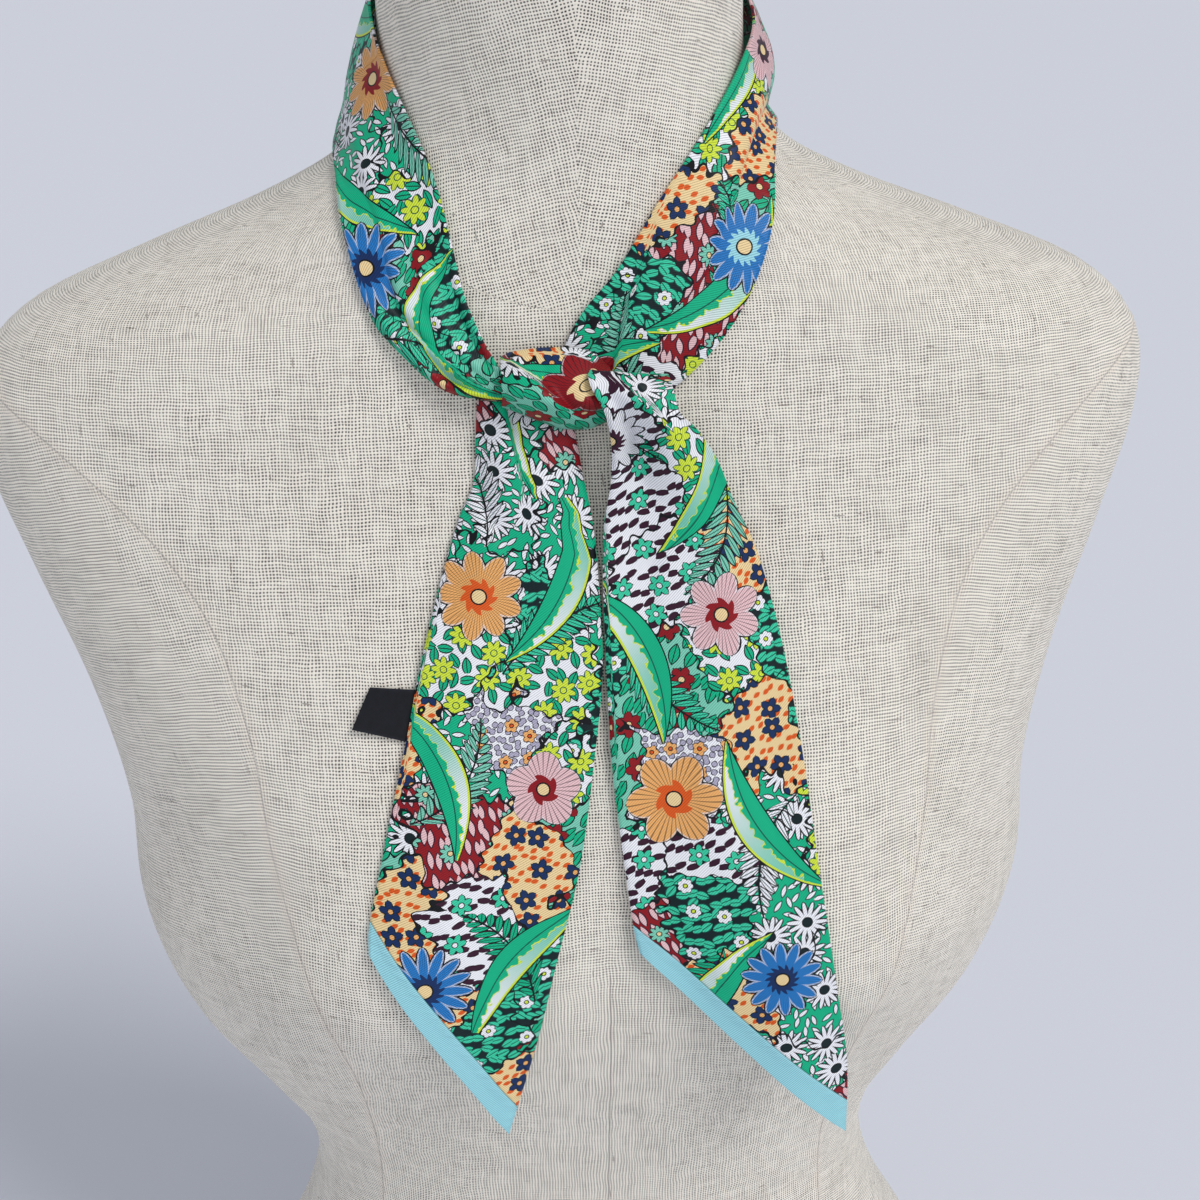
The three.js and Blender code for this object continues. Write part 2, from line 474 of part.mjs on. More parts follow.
const loop = measured(loopRows, loopPoint);
const loopEnd = loop.at(-1).along;
const cutLeft = loop[loopCuts.left].along;
const cutRight = loop[loopCuts.right].along;
const alongAt = (place) => {
  const i = Math.min(Math.floor(place), loop.length - 2);
  return loop[i].along + (loop[i + 1].along - loop[i].along) * (place - i);
};
for (const [name, on, from, to, steps, lanes] of [
  ["scarf_collar_left", "collarLeft", 0, cutLeft - seamGap / 2, 26, 16],
  ["scarf_collar_back", "collarBack", cutLeft + seamGap / 2, cutRight - seamGap / 2, 22, 8],
  ["scarf_collar_right", "collarRight", cutRight + seamGap / 2, loopEnd, 26, 16],
]) {
  const folds = creases.filter((crease) => crease.on === on).map((crease) => ({
    ...crease, path: crease.path.map(([place, across, lift]) => [alongAt(place), across * bandWide, lift]),
  }));
  const point = (row, across) => loopPoint(row, across, folds);
  add(name, wall(stretch(loop, from, to, steps, lanes, point), cloth), twill);
}

for (const [name, on, table, steps, lanes] of [
  ["scarf_knot_wrap", "wrap", wrapRows, 18, 16],
  ["scarf_tail_left", "leftTail", leftTailRows, 34, 18],
  ["scarf_tail_right", "rightTail", rightTailRows, 42, 18],
]) {
  const folds = creases.filter((crease) => crease.on === on);
  const rows = measured(table, (row, across) => frontPoint(row, across, pleats[on]));
  const point = (row, across) => frontPoint(row, across, pleats[on], folds);
  add(name, wall(stretch(rows, 0, rows.at(-1).along, steps, lanes, point), cloth), twill);
}

add("care_label", wall(labelGrid(), label.thick), { color: 0x16171c, roughness: 0.7 });

export default group;
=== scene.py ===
import math
import bpy
from mathutils import Matrix, Vector


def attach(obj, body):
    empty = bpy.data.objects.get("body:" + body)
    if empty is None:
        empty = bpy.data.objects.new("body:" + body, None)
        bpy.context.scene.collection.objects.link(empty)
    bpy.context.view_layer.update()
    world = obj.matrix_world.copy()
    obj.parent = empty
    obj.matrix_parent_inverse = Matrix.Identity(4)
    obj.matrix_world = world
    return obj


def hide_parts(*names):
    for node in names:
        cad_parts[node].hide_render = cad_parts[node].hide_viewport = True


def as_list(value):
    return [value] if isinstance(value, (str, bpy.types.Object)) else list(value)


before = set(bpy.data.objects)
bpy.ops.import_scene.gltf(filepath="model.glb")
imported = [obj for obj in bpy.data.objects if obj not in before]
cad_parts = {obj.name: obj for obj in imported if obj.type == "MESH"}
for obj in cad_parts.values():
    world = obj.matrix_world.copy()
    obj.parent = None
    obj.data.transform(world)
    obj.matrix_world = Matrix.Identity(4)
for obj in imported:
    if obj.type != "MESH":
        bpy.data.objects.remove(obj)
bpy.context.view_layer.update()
scene = bpy.context.scene
bpy.ops.object.select_all(action="DESELECT")
mm = 0.001

studio = {
    "aim": (0.009, 0.008, 0.437), "distance": 0.642, "turn": -5.0, "lift": 24.0, "roll": -1.2, "lens": 52.5,
    "sensor": 36, "lampAim": (0, 0, 0.4), "roomColour": (216, 219, 226), "roomLight": 0.6,
    "floorColour": (225, 228, 237), "floorRoughness": 0.7, "floorSize": 60.0,
}
lamps = [  # at is the side each comes from, soft its spread in degrees
    {"name": "windowLight", "at": (0.95, -1.0, 1.85), "soft": 24, "power": 1.6, "colour": (1.0, 0.985, 0.96)},
    {"name": "roomLight", "at": (-1.7, -1.0, 1.0), "soft": 70, "power": 0.25, "colour": (0.95, 0.97, 1.0)},
    {"name": "lowLight", "at": (0.3, -1.8, 0.15), "soft": 60, "power": 0.8, "colour": (1.0, 0.98, 0.95)},
]


def linear(red, green, blue):
    # screen colours from 0 to 255, as the shaders want them
    return tuple(((c / 255 + 0.055) / 1.055) ** 2.4 if c > 10 else c / 255 / 12.92 for c in (red, green, blue)) + (1.0,)


def makeStudio():
    turn, lift, roll = (math.radians(studio[k]) for k in ("turn", "lift", "roll"))
    back = Vector((math.sin(turn) * math.cos(lift), -math.cos(turn) * math.cos(lift), math.sin(lift)))
    level = (-back).cross(Vector((0, 0, 1))).normalized()
    upright = level.cross(-back)
    right = level * math.cos(roll) + upright * math.sin(roll)
    up = upright * math.cos(roll) - level * math.sin(roll)
    camera = bpy.data.objects.new("camera", bpy.data.cameras.new("camera"))
    scene.collection.objects.link(camera)
    camera.matrix_world = Matrix((right, up, back)).transposed().to_4x4()
    camera.location = Vector(studio["aim"]) + back * studio["distance"]
    camera.data.lens = studio["lens"]
    camera.data.sensor_width = studio["sensor"]
    camera.data.clip_start = 0.01
    scene.camera = camera
    for lamp in lamps:
        light = bpy.data.lights.new(lamp["name"], "SUN")
        light.angle = math.radians(lamp["soft"])
        light.energy = lamp["power"]
        light.color = lamp["colour"]
        holder = bpy.data.objects.new(lamp["name"], light)
        holder.location = lamp["at"]
        toPart = Vector(studio["lampAim"]) - Vector(lamp["at"])
        holder.rotation_euler = toPart.to_track_quat("-Z", "Y").to_euler()
        scene.collection.objects.link(holder)
    scene.world = bpy.data.worlds.new("room")
    scene.world.use_nodes = True
    room = scene.world.node_tree.nodes["Background"].inputs
    room["Color"].default_value = linear(*studio["roomColour"])
    room["Strength"].default_value = studio["roomLight"]
    scene.view_settings.view_transform = "Standard"


makeStudio()
print("studio done")


def table(names, *rows):
    return [dict(zip(names.split(), row)) for row in rows]


# the form, in millimetres: half its width, and its depth to the front and back, at each height
standBack = 8  # the tables are drawn round the neck's axis, and the part stands this far behind it
formRows = table(
    "z half front back square squareBack",
    (0, 160, 100, 106, 2.3, 2.3), (45, 166, 104, 112, 2.3, 2.3), (100, 153, 102, 104, 2.25, 2.3),
    (160, 124, 91, 82, 2.2, 2.3), (203, 113, 84, 70, 2.2, 2.3), (236, 118, 87, 73, 2.2, 2.4),
    (266, 135, 94, 80, 2.25, 2.5), (302, 156, 105, 89, 2.3, 2.6), (342, 166, 110, 96, 2.4, 2.7),
    (385, 166, 107, 100, 2.4, 2.9), (430, 174, 97, 100, 2.5, 3), (475, 188, 84, 94, 2.6, 2.9),
    (510, 198, 74, 84, 2.6, 2.8), (536, 197, 68, 75, 2.5, 2.6), (556, 179, 64, 68, 2.3, 2.3),
    (573, 140, 61, 64, 2.1, 2.1), (588, 101, 60, 61, 2, 2), (602, 74, 59, 59, 2, 2), (620, 61, 60, 56, 2, 2),
    (650, 58, 62, 53, 2, 2), (690, 58, 66, 49, 2, 2),
)
bust = {"apart": 78, "z": 352, "high": 20, "wide": 50, "above": 75, "below": 42}
neckSeam = {"low": 563, "throat": 60, "alongX": 0.006, "alongY": 0.4}
sideSeam = table(  # distance of the side panels' seams from the middle, at each height
    "z x",
    (0, 106), (60, 104), (120, 97), (170, 89), (205, 85), (250, 83), (295, 85), (325, 89), (350, 96), (375, 102),
    (400, 107), (428, 110), (455, 116), (473, 123), (490, 134), (505, 148), (519, 164), (530, 179), (541, 197),
)
form = {
    "sides": 288, "bodySteps": 270, "neckSteps": 70, "levelTop": 515, "levelShare": 0.84, "edge": 4, "smooth": 50,
    "seamOpen": 0.3, "seamRidge": 0.35, "seamWide": 3.2, "seamTop": 545, "ringSamples": 96, "columnSamples": 30,
}
top = formRows[-1]["z"]


def rowAt(rows, key, at):
    # Catmull-Rom between the rows of a table whose key rises
    i = 1
    while i < len(rows) - 1 and rows[i][key] < at:
        i += 1
    low, high = rows[i - 1], rows[i]
    before, after = rows[max(i - 2, 0)], rows[min(i + 1, len(rows) - 1)]
    span = high[key] - low[key]
    t = min(1, max(0, (at - low[key]) / span))
    a, b, c, d = 2 * t**3 - 3 * t**2 + 1, t**3 - 2 * t**2 + t, 3 * t**2 - 2 * t**3, t**3 - t**2
    fromBefore, toAfter = span / (high[key] - before[key]), span / (after[key] - low[key])
    return {
        name: a * low[name] + b * (high[name] - before[name]) * fromBefore
        + c * high[name] + d * (after[name] - low[name]) * toAfter
        for name in low
    }


formTable = [rowAt(formRows, "z", z * 0.5) for z in range(2 * top + 1)]  # the outline at every half millimetre


def formRow(z):
    place = min(max(z * 2, 0), 2 * top - 0.001)
    i = int(place)
    low, high = formTable[i], formTable[i + 1]
    return {name: low[name] + (high[name] - low[name]) * (place - i) for name in low}


def bustRise(x, z):
    side = (abs(x) - bust["apart"]) / bust["wide"]
    up = (z - bust["z"]) / (bust["above"] if z > bust["z"] else bust["below"])
    return bust["high"] * math.exp(-side * side - up * up)


def formPoint(z, turn):
    # the point of the level outline in the direction turn, the same all the way up
    row = formRow(z)
    c, s = math.cos(turn), math.sin(turn)
    power = row["square"] if s < 0 else row["squareBack"]
    reach = (abs(c) ** power + abs(s) ** power) ** (-1 / power)
    x = row["half"] * c * reach
    depth = row["front"] + bustRise(x, z) if s < 0 else row["back"]
    return Vector((x, depth * s * reach, z))


def formFront(x, z):
    row = formRow(z)
    share = min(1, abs(x) / row["half"])
    return -(row["front"] + bustRise(x, z)) * (1 - share ** row["square"]) ** (1 / row["square"])


def formField(p):
    # nothing on the form's surface, and more outside it
    row = formRow(p.z)
    power = row["square"] if p.y < 0 else row["squareBack"]
    depth = row["front"] + bustRise(p.x, p.z) if p.y < 0 else row["back"]
    return ((abs(p.x) / row["half"]) ** power + (abs(p.y) / depth) ** power) ** (1 / power) - 1


def formSlope(p):
    step, here = 0.2, formField(p)
    steps = (Vector((step, 0, 0)), Vector((0, step, 0)), Vector((0, 0, step)))
    return Vector([formField(p + way) - here for way in steps]) / step


def clearOfForm(point, gap):
    p = point.copy()
    for _ in range(5):
        here, slope = formField(p), formSlope(p)
        away = here / slope.length
        if away >= gap:
            break
        p += slope.normalized() * (gap - away)
    return p


def seamPoint(turn):
    # where the neck seam passes in the direction turn
    p = formPoint(neckSeam["low"], turn)
    for _ in range(40):
        high = neckSeam["low"] + neckSeam["alongX"] * p.x**2 + neckSeam["alongY"] * (p.y + neckSeam["throat"])
        p = formPoint((p.z + high) / 2, turn)
    return p


def seamGap(p):
    # how far p lies outside the side panels' seam, over the form's surface
    seam = rowAt(sideSeam, "z", p.z)
    lean = rowAt(sideSeam, "z", p.z + 1)["x"] - seam["x"]
    along = Vector((math.copysign(1, p.x), 0, -lean))
    normal = formSlope(p).normalized()
    spread = (along - normal * along.dot(normal)).length
    return (abs(p.x) - seam["x"]) / max(spread, 0.15)


def rounded(gap, radius):
    # how far an edge with this radius is drawn in, at a distance from its face
    return radius - math.sqrt(radius**2 - (radius - min(gap, radius)) ** 2)


def runsOf(points):
    runs = [0]
    for a, b in zip(points, points[1:]):
        runs.append(runs[-1] + (b - a).length)
    return runs


def runsOver(pointAt, steps):
    return runsOf([pointAt(i / steps) for i in range(steps + 1)])


def readOff(runs, share):
    at = min(share * (len(runs) - 1), len(runs) - 1.0001)
    return runs[int(at)] + (runs[int(at) + 1] - runs[int(at)]) * (at - int(at))


def select(piece):
    bpy.ops.object.select_all(action="DESELECT")
    piece.select_set(True)
    bpy.context.view_layer.objects.active = piece


def gridPiece(name, lanes, steps, place, flat, extras=()):
    # a flat grid whose points then go where the cloth lies; across runs over its width and along down its length
    bpy.ops.object.select_all(action="DESELECT")
    bpy.ops.mesh.primitive_grid_add(x_subdivisions=lanes, y_subdivisions=steps, size=1, calc_uvs=True)
    piece = bpy.context.object
    piece.name = name
    mesh = piece.data
    shares = [(v.co.x + 0.5, v.co.y + 0.5) for v in mesh.vertices]
    for vertex, (across, along) in zip(mesh.vertices, shares):
        vertex.co = (place(along, across) + Vector((0, standBack, 0))) * mm
    layer = mesh.uv_layers.active
    layer.name = "cloth"
    for loop in mesh.loops:
        across, along = shares[loop.vertex_index]
        layer.data[loop.index].uv = flat(along, across)
    for label, valueOf in extras:
        values = mesh.attributes.new(label, "FLOAT", "POINT").data
        for i, (across, along) in enumerate(shares):
            values[i].value = valueOf(along, across)
    mesh.update()
    return piece


def faceOut(piece, smooth, close=False):
    select(piece)
    bpy.ops.object.mode_set(mode="EDIT")
    bpy.ops.mesh.select_all(action="SELECT")
    if close:
        bpy.ops.mesh.remove_doubles(threshold=0.00001)
        bpy.ops.mesh.fill_holes(sides=0)
        bpy.ops.mesh.select_all(action="SELECT")
    bpy.ops.mesh.normals_make_consistent(inside=False)
    bpy.ops.object.mode_set(mode="OBJECT")
    bpy.ops.object.shade_smooth_by_angle(angle=math.radians(smooth))


def thicken(piece, thick, rounding, even):
    # a wall with rounded edges, half to each side of the grid
    wall = piece.modifiers.new("wall", "SOLIDIFY")
    wall.thickness = thick * mm
    wall.offset = 0
    wall.use_even_offset = even
    rim = piece.modifiers.new("rim", "BEVEL")
    rim.width = thick * rounding * mm
    rim.segments = 2
    rim.limit_method = "ANGLE"
    rim.angle_limit = math.radians(50)
    select(piece)
    for modifier in list(piece.modifiers):
        bpy.ops.object.modifier_apply(modifier=modifier.name)
    faceOut(piece, 60)


def makeFormPiece(name, node, steps, shape, edge):
    # the linen's threads run level round the form, and up it from the middle of the front
    rings, columns = {}, {}
    body = node == "form_body"
    levelShare = form["levelShare"]

    def place(along, across):
        p = shape(along, across)
        slope = formSlope(p).normalized()
        drawnIn = rounded(p.z if body else top - p.z, edge)
        if body and p.z < form["seamTop"]:
            drawnIn += form["seamRidge"] * (1 - math.exp(-((seamGap(p) / form["seamWide"]) ** 2)))
        return p - Vector((slope.x, slope.y, 0)) * drawnIn

    def flat(along, across):
        ring, column = round(along, 5), round(across, 5)
        if ring not in rings:
            rings[ring] = runsOver(lambda share: shape(along, share), form["ringSamples"])
        if column not in columns:
            columns[column] = runsOver(lambda share: shape(levelShare + (1 - levelShare) * share, across),
                                       form["columnSamples"])
        around = readOff(rings[ring], across) - readOff(rings[ring], 0.5)
        if not body or along <= levelShare:
            return around * mm, shape(along, across).z * mm
        up = (along - levelShare) / (1 - levelShare)
        return around * mm, (form["levelTop"] + readOff(columns[column], up)) * mm

    def toSeam(along, across):
        return seamGap(shape(along, across)) if body else 99

    piece = gridPiece(name, form["sides"], steps, place, flat, [("seamGap", toSeam)])
    faceOut(piece, form["smooth"], close=True)
    layer = piece.data.uv_layers["cloth"].data
    for polygon in piece.data.polygons:
        if len(polygon.vertices) > 8:  # the linen lies straight across the flat ends
            for loop, vertex in zip(polygon.loop_indices, polygon.vertices):
                layer[loop].uv = piece.data.vertices[vertex].co.xy
    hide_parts(node)
    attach(piece, "root")
    return piece


def makeForm():
    tops = {}

    def topOf(turn):
        key = round(turn, 5)
        if key not in tops:
            tops[key] = seamPoint(turn).z
        return tops[key]

    def bodyShape(along, across):
        turn = math.pi * (2 * across + 0.5)
        levelTop, levelShare = form["levelTop"], form["levelShare"]
        if along <= levelShare:
            return formPoint(levelTop * along / levelShare, turn)
        up = math.sin(math.pi / 2 * (along - levelShare) / (1 - levelShare))
        return formPoint(levelTop + (topOf(turn) - levelTop) * up, turn)

    def neckShape(along, across):
        turn = math.pi * (2 * across + 0.5)
        low = topOf(turn) + form["seamOpen"]
        return formPoint(low + (top - low) * along, turn)

    body = makeFormPiece("linenBody", "form_body", form["bodySteps"], bodyShape, form["edge"])
    neck = makeFormPiece("linenNeck", "form_neck", form["neckSteps"], neckShape, form["edge"])
    return [body, neck]


formPieces = makeForm()
print("form done")

# the scarf, in millimetres
scarf = {
    "wide": 60, "thick": 1.0, "rounding": 0.4, "offNeck": 1.9, "offFront": 1.3, "hangFrom": 350, "hangSoft": 12,
    "loopRise": 30, "settle": 0.6, "edgeDrop": 0.5, "edgeWide": 3, "looseOff": 7, "creaseDepth": 1.35,
    "joint": 0.15,  # half of the gap between stretches that meet
}
# each row gives both edges of the band; bow rounds it out and fold pleats it
loopRows = table(
    "neckX neckY neckZ outX outY outZ bow fold",
    (-16, -75, 545, -17, -76.5, 538.8, 0.5, 0), (-24, -74, 546, -26, -75.5, 538.6, 1, 0.2),
    (-28, -71, 551, -42, -72, 541.2, 1.6, 0.7), (-31.5, -66, 558, -55.5, -66, 552, 2.6, 1.3),
    (-35, -62, 568, -64, -60, 563, 4, 1.5), (-38, -58, 583, -69, -47, 581, 4, 1.1),
    (-42, -51, 600, -72, -29, 597, 4, 0.8), (-49, -37, 618, -74, -6, 604, 4, 0.5),
    (-56, -20, 634, -73, 16, 606, 4, 0.2), (-59, 2, 650, -66, 37, 608, 4, 0),
    (-52, 30, 661, -50, 55, 610, 3, 0), (-29, 49, 666, -27, 65, 611, 2, 0.2),
    (0, 55, 668, 0, 68, 611, 2, 0.4), (29, 49, 666, 27, 65, 611, 2, 0.2),
    (51.5, 30, 661, 51, 55, 610, 3.6, 0), (58.5, 2, 651, 65, 36, 607, 5, 0),
    (59.5, -16, 640, 67, 16, 604, 6.4, 0.2), (53.5, -31, 630, 64.2, -4, 603, 5.4, 0.3),
    (44, -44, 618, 62.8, -21, 603, 4.4, 0.4), (34, -52.5, 606, 61, -38, 596, 3.4, 0.6),
    (23, -58, 592, 59, -50, 583, 3, 0.8), (11, -62, 574, 54, -59, 569, 3, 0.9),
    (0, -65, 562, 46, -64, 556, 2, 0.8), (-6, -67, 552, 36, -67, 545, 0.6, 0.3),
    (-7, -68, 545, 26, -69, 537, 0.2, 0.1),
)
frontNames = "leftX leftZ rightX rightZ off bow fold"
wrapRows = table(
    frontNames,
    (7, 546, 7, 531, 5.4, 6.5, 0.2), (1, 551, 0, 528.6, 5.4, 10, 0.3), (-8, 552.5, -8, 529.3, 5.4, 11, 0.4),
    (-17, 552.3, -17, 532.6, 5.4, 10.5, 0.3), (-23, 551.5, -23.5, 535.3, 5.4, 10, 0.1),
    (-25.8, 550.3, -26.2, 536.2, 5.2, 9, 0),
)
leftTailRows = table(
    frontNames,
    (-33.5, 537, -6, 537, 2.2, 0.6, 0.3), (-34.5, 525, -4, 525, 2.4, 2, 0.8), (-36, 512, -2, 512, 2.6, 2.6, 1),
    (-40.5, 503, 0, 500, 2.6, 2.6, 1), (-46.5, 487, 1.1, 482, 2.6, 2, 0.8), (-54.5, 462, 1.1, 455, 3, 1, 0.6),
    (-61.5, 436, -3, 426, 3, 0.6, 0.4), (-68.5, 411, -9, 393, 2.4, 0.4, 0.4),
    (-74.5, 389, -18, 361, 2.6, 0.3, 0.5), (-76.5, 380, -25, 334, 3, 0.2, 0.5), (-77, 373, -36, 299, 4, 0, 0.3),
)
rightTailRows = table(
    frontNames,
    (14, 536, 22, 536, 8, 0.2, 0), (12, 542, 23, 541, 9, 0.4, 0), (1, 547.5, 24, 545, 13, 0.8, 0.2),
    (0, 545, 25, 542, 17, 1, 0.3), (4, 537, 27, 535, 17, 1.4, 0.6), (6, 527, 33, 528, 12.6, 2, 0.9),
    (6, 515, 39.5, 517, 8, 2, 1), (4, 502, 44.5, 504, 4.8, 2, 1), (2.6, 485, 51.5, 488, 3.2, 1.4, 0.9),
    (2.4, 456, 58.5, 460, 2.6, 0.8, 0.7), (2.8, 426, 63.5, 427, 2.4, 0.4, 0.4),
    (5, 398, 67.5, 389, 2.4, 0.3, 0.4), (7, 378, 73, 349, 2.8, 0.2, 0.5), (8, 370, 77.5, 319, 3.2, 0.2, 0.5),
    (9.5, 363, 78, 290, 4, 0, 0.3),
)
# start and way place each stretch on the strip as it was cut, from the tip of the left tail; shows is how much of the
# cut's width is seen there, as the rest is folded or gathered out of sight; waves and turn set its pleats
stretches = table(
    "name node rows from to lanes steps shows start way waves turn held rests",
    ("collarLeft", "scarf_collar_left", loopRows, 0, 8, 60, 140, 30, 818, -1, 2, 0.6, "draped",
     ["linenNeck", "linenBody"]),
    ("collarBack", "scarf_collar_back", loopRows, 8, 16, 40, 110, 60, 818, -1, 2, 0.6, "draped", ["linenNeck"]),
    ("collarRight", "scarf_collar_right", loopRows, 16, 24, 60, 140, 36, 818, -1, 2, 0.6, "draped",
     ["linenNeck", "linenBody"]),
    ("knotWrap", "scarf_knot_wrap", wrapRows, 0, 5, 60, 80, 34, 330, -1, 1.5, 2.2, "gathered", ["collarLeft"]),
    ("tailLeft", "scarf_tail_left", leftTailRows, 0, 10, 84, 240, 60, 262, -1, 1.5, 3.6, "hung", ["linenBody"]),
    ("tailRight", "scarf_tail_right", rightTailRows, 0, 14, 84, 280, 60, 850, 1, 1.5, 0.4, "hung",
     ["linenBody", "collarRight"]),
)
# creases that the knot and the hand leave: a point's last number is how far the cloth stands up there, left and right
# are how far that spreads on either side, and hidden is the cloth tucked away behind it. Round the neck a point's first
# two numbers are the row of the loop and the share across the band
creases = table(
    "on left right hidden path",
    ("knotWrap", 0.9, 8, 10, [(-27.5, 549.2, 0.6), (-23.2, 549.6, 1.8), (-20.2, 548.4, 2.4), (-15.8, 545.6, 2.6),
     (-11.2, 541, 2.3), (-7.5, 537.4, 1.6), (-4, 534, 0.8), (-0.5, 531.5, 0)]),
    ("knotWrap", 3, 2, 0, [(-19, 551.5, 0), (-13.5, 547.2, -1.2), (-8.5, 541.5, -1.3), (-4, 537, -0.8),
     (1, 533.5, 0)]),
    ("knotWrap", 3, 2.5, 0, [(7, 540.5, 1), (1, 539.5, 0.9), (-5, 540.8, 0.4), (-9, 543, 0)]),
    ("knotWrap", 2, 2, 0, [(7, 536, -1), (2, 535, -0.8), (-3, 536.3, -0.3), (-6, 538, 0)]),
    ("knotWrap", 0.5, 4, 6, [(-26, 549.3, 0), (-20, 550.9, 0.7), (-12, 551.4, 0.8), (-4, 550.6, 0.8),
     (3, 547.6, 0.4), (6, 545.6, 0)]),
    ("tailRight", 1.2, 4, 9, [(3, 546.6, 0.6), (7, 545.2, 1.7), (11.3, 543.2, 2.5), (15.5, 540, 2.8),
     (19.5, 536, 2.4), (22, 532, 1), (23.5, 528, 0)]),
    ("tailRight", 7, 5, 0, [(18.5, 538, 0), (21.5, 531, 1.8), (24.5, 522, 2), (28, 511, 1.4), (28.5, 500, 0.7),
     (24, 489, 0)]),
    ("tailRight", 4, 3.5, 0, [(9, 540, 0), (12.5, 535.5, -1.6), (15, 530, -2.6), (15.6, 522, -2.4),
     (16.5, 513, -1.5), (19, 504, -0.6), (22, 497, 0)]),
    ("tailRight", 4, 4, 0, [(8, 538, 0.4), (9, 528, 0.8), (9, 515, 0.8), (8, 500, 0.5), (8, 480, 0)]),
    ("tailRight", 2.5, 3, 0, [(27, 500, 0), (21, 493, -0.6), (18, 485, -0.8), (17, 476, -0.5), (18, 468, 0)]),
    ("tailRight", 9, 6, 0, [(40, 472, 0), (36, 447, 0.8), (33, 420, 1), (37, 396, 0.6), (45, 372, 0)]),
    ("tailRight", 6, 8, 0, [(52, 458, 0), (50, 432, -0.7), (53, 405, -0.9), (58, 380, -0.5), (63, 348, 0)]),
    ("tailRight", 7, 5, 0, [(26, 402, 0), (23, 386, 0.6), (30, 366, 0.8), (44, 346, 0.4), (61, 328, 0)]),
    ("tailRight", 3, 0.4, -7, [(4.9, 513, 0), (4.3, 502, 0.5), (4.1, 485, 0.6), (4, 460, 0.6), (4.2, 436, 0.5),
     (5.4, 414, 0)]),
    ("tailLeft", 0.9, 7, -9, [(-26.4, 537, 1), (-24.9, 530, 2), (-23.8, 523.4, 2.2), (-22.3, 515.5, 1.8),
     (-21.9, 511.5, 1.3), (-22.9, 507, 0.7), (-26, 501, 0)]),
    ("tailLeft", 3.5, 2, 0, [(-36.8, 517.5, -0.4), (-34.8, 513.5, -1.2), (-34, 509, -1.7), (-32, 502, -1.4),
     (-28.5, 496, -0.7), (-23, 488, 0)]),
    ("tailLeft", 8, 6, 0, [(-16, 534, 0.4), (-15.5, 525, 1.4), (-13.5, 512, 1.8), (-13, 497, 1.5), (-14, 478, 1),
     (-18, 455, 0.5), (-22, 430, 0)]),
    ("tailLeft", 2.5, 3.5, 0, [(-5.5, 527, 0), (-5.2, 515, -0.8), (-4, 500, -1), (-3.5, 481, -0.6), (-5, 462, 0)]),
    ("tailLeft", 7, 9, 0, [(-43, 472, 0), (-42, 450, 0.7), (-45, 425, 0.9), (-52, 401, 0.5), (-58, 386, 0)]),
    ("tailLeft", 6, 7, 0, [(-21, 442, 0), (-26, 418, -0.7), (-33, 396, -0.8), (-40, 375, -0.4), (-45, 350, 0)]),
    ("tailLeft", 5, 4, 0, [(-61, 406, 0), (-57, 392, 0.6), (-50, 377, 0.7), (-42, 355, 0.4), (-38, 334, 0)]),
    ("tailLeft", 3, 0.4, 6, [(-44.5, 488, 0), (-50.6, 470, 0.5), (-56.2, 452, 0.6), (-61.4, 430, 0.5),
     (-66, 413, 0)]),
    ("collarLeft", 7, 7, 0, [(6.8, 0.42, 0), (5.6, 0.4, -0.8), (4.5, 0.42, -1.4), (3, 0.5, -1.6), (2.2, 0.45, -1.2),
     (1.2, 0.5, -0.4), (0.6, 0.5, 0)]),
    ("collarLeft", 1.5, 9, 8, [(4.2, 0.86, 0), (3.5, 0.76, 1.2), (2.8, 0.64, 1.9), (2.2, 0.58, 1.8), (1.6, 0.66, 1),
     (1, 0.76, 0)]),
    ("collarLeft", 3, 4, 0, [(2.8, 0.93, 0), (2.1, 0.9, 1), (1.6, 0.88, 1), (1.1, 0.9, 0)]),
    ("collarLeft", 3, 2, 0, [(2.5, 0.84, 0), (1.9, 0.8, -0.8), (1.5, 0.83, -0.7), (1.1, 0.86, 0)]),
    ("collarLeft", 8, 8, 0, [(8, 0.7, 0), (6.8, 0.66, 0.8), (5.8, 0.7, 1), (4.9, 0.78, 0.6), (4.2, 0.84, 0)]),
    ("collarBack", 7, 9, 0, [(8.8, 0.3, 0), (10.5, 0.35, 0.9), (12.2, 0.42, 1.1), (13.5, 0.38, 0.5),
     (14.6, 0.35, 0)]),
    ("collarBack", 8, 6, 0, [(9.8, 0.7, 0), (11.5, 0.66, -0.8), (13, 0.7, -1), (15, 0.62, -0.5), (15.8, 0.6, 0)]),
    ("collarBack", 4, 5, 0, [(13.6, 0.15, 0), (14.6, 0.2, 0.6), (15.6, 0.18, 0)]),
    ("collarRight", 10, 1.5, 7, [(19.2, 0.02, 0), (20.2, 0.06, 1), (21.2, 0.2, 1.5), (22.5, 0.33, 1.4),
     (23.4, 0.42, 0.8), (24, 0.47, 0)]),
    ("collarRight", 9, 7, 0, [(16.8, 0.75, 0), (18.2, 0.7, -0.9), (19.6, 0.68, -1.2), (21, 0.66, -1),
     (22.4, 0.66, -0.6), (23.4, 0.62, 0)]),
    ("collarRight", 7, 7, 0, [(16.4, 0.4, 0), (17.8, 0.42, 0.8), (19, 0.46, 1), (20.4, 0.5, 0.6), (21.5, 0.5, 0)]),
    ("collarRight", 4, 5, 0, [(21.6, 0.9, 0), (22.4, 0.86, 0.6), (23.2, 0.84, 0)]),
)


def isTail(stretch):
    return stretch["name"].startswith("tail")


def pleat(across, stretch):
    wave = 2 * math.pi * stretch["waves"] * across
    return math.cos(wave + stretch["turn"]) + 0.45 * math.cos(1.85 * wave - stretch["turn"])


def bowed(across):
    return math.sin(math.pi * across)


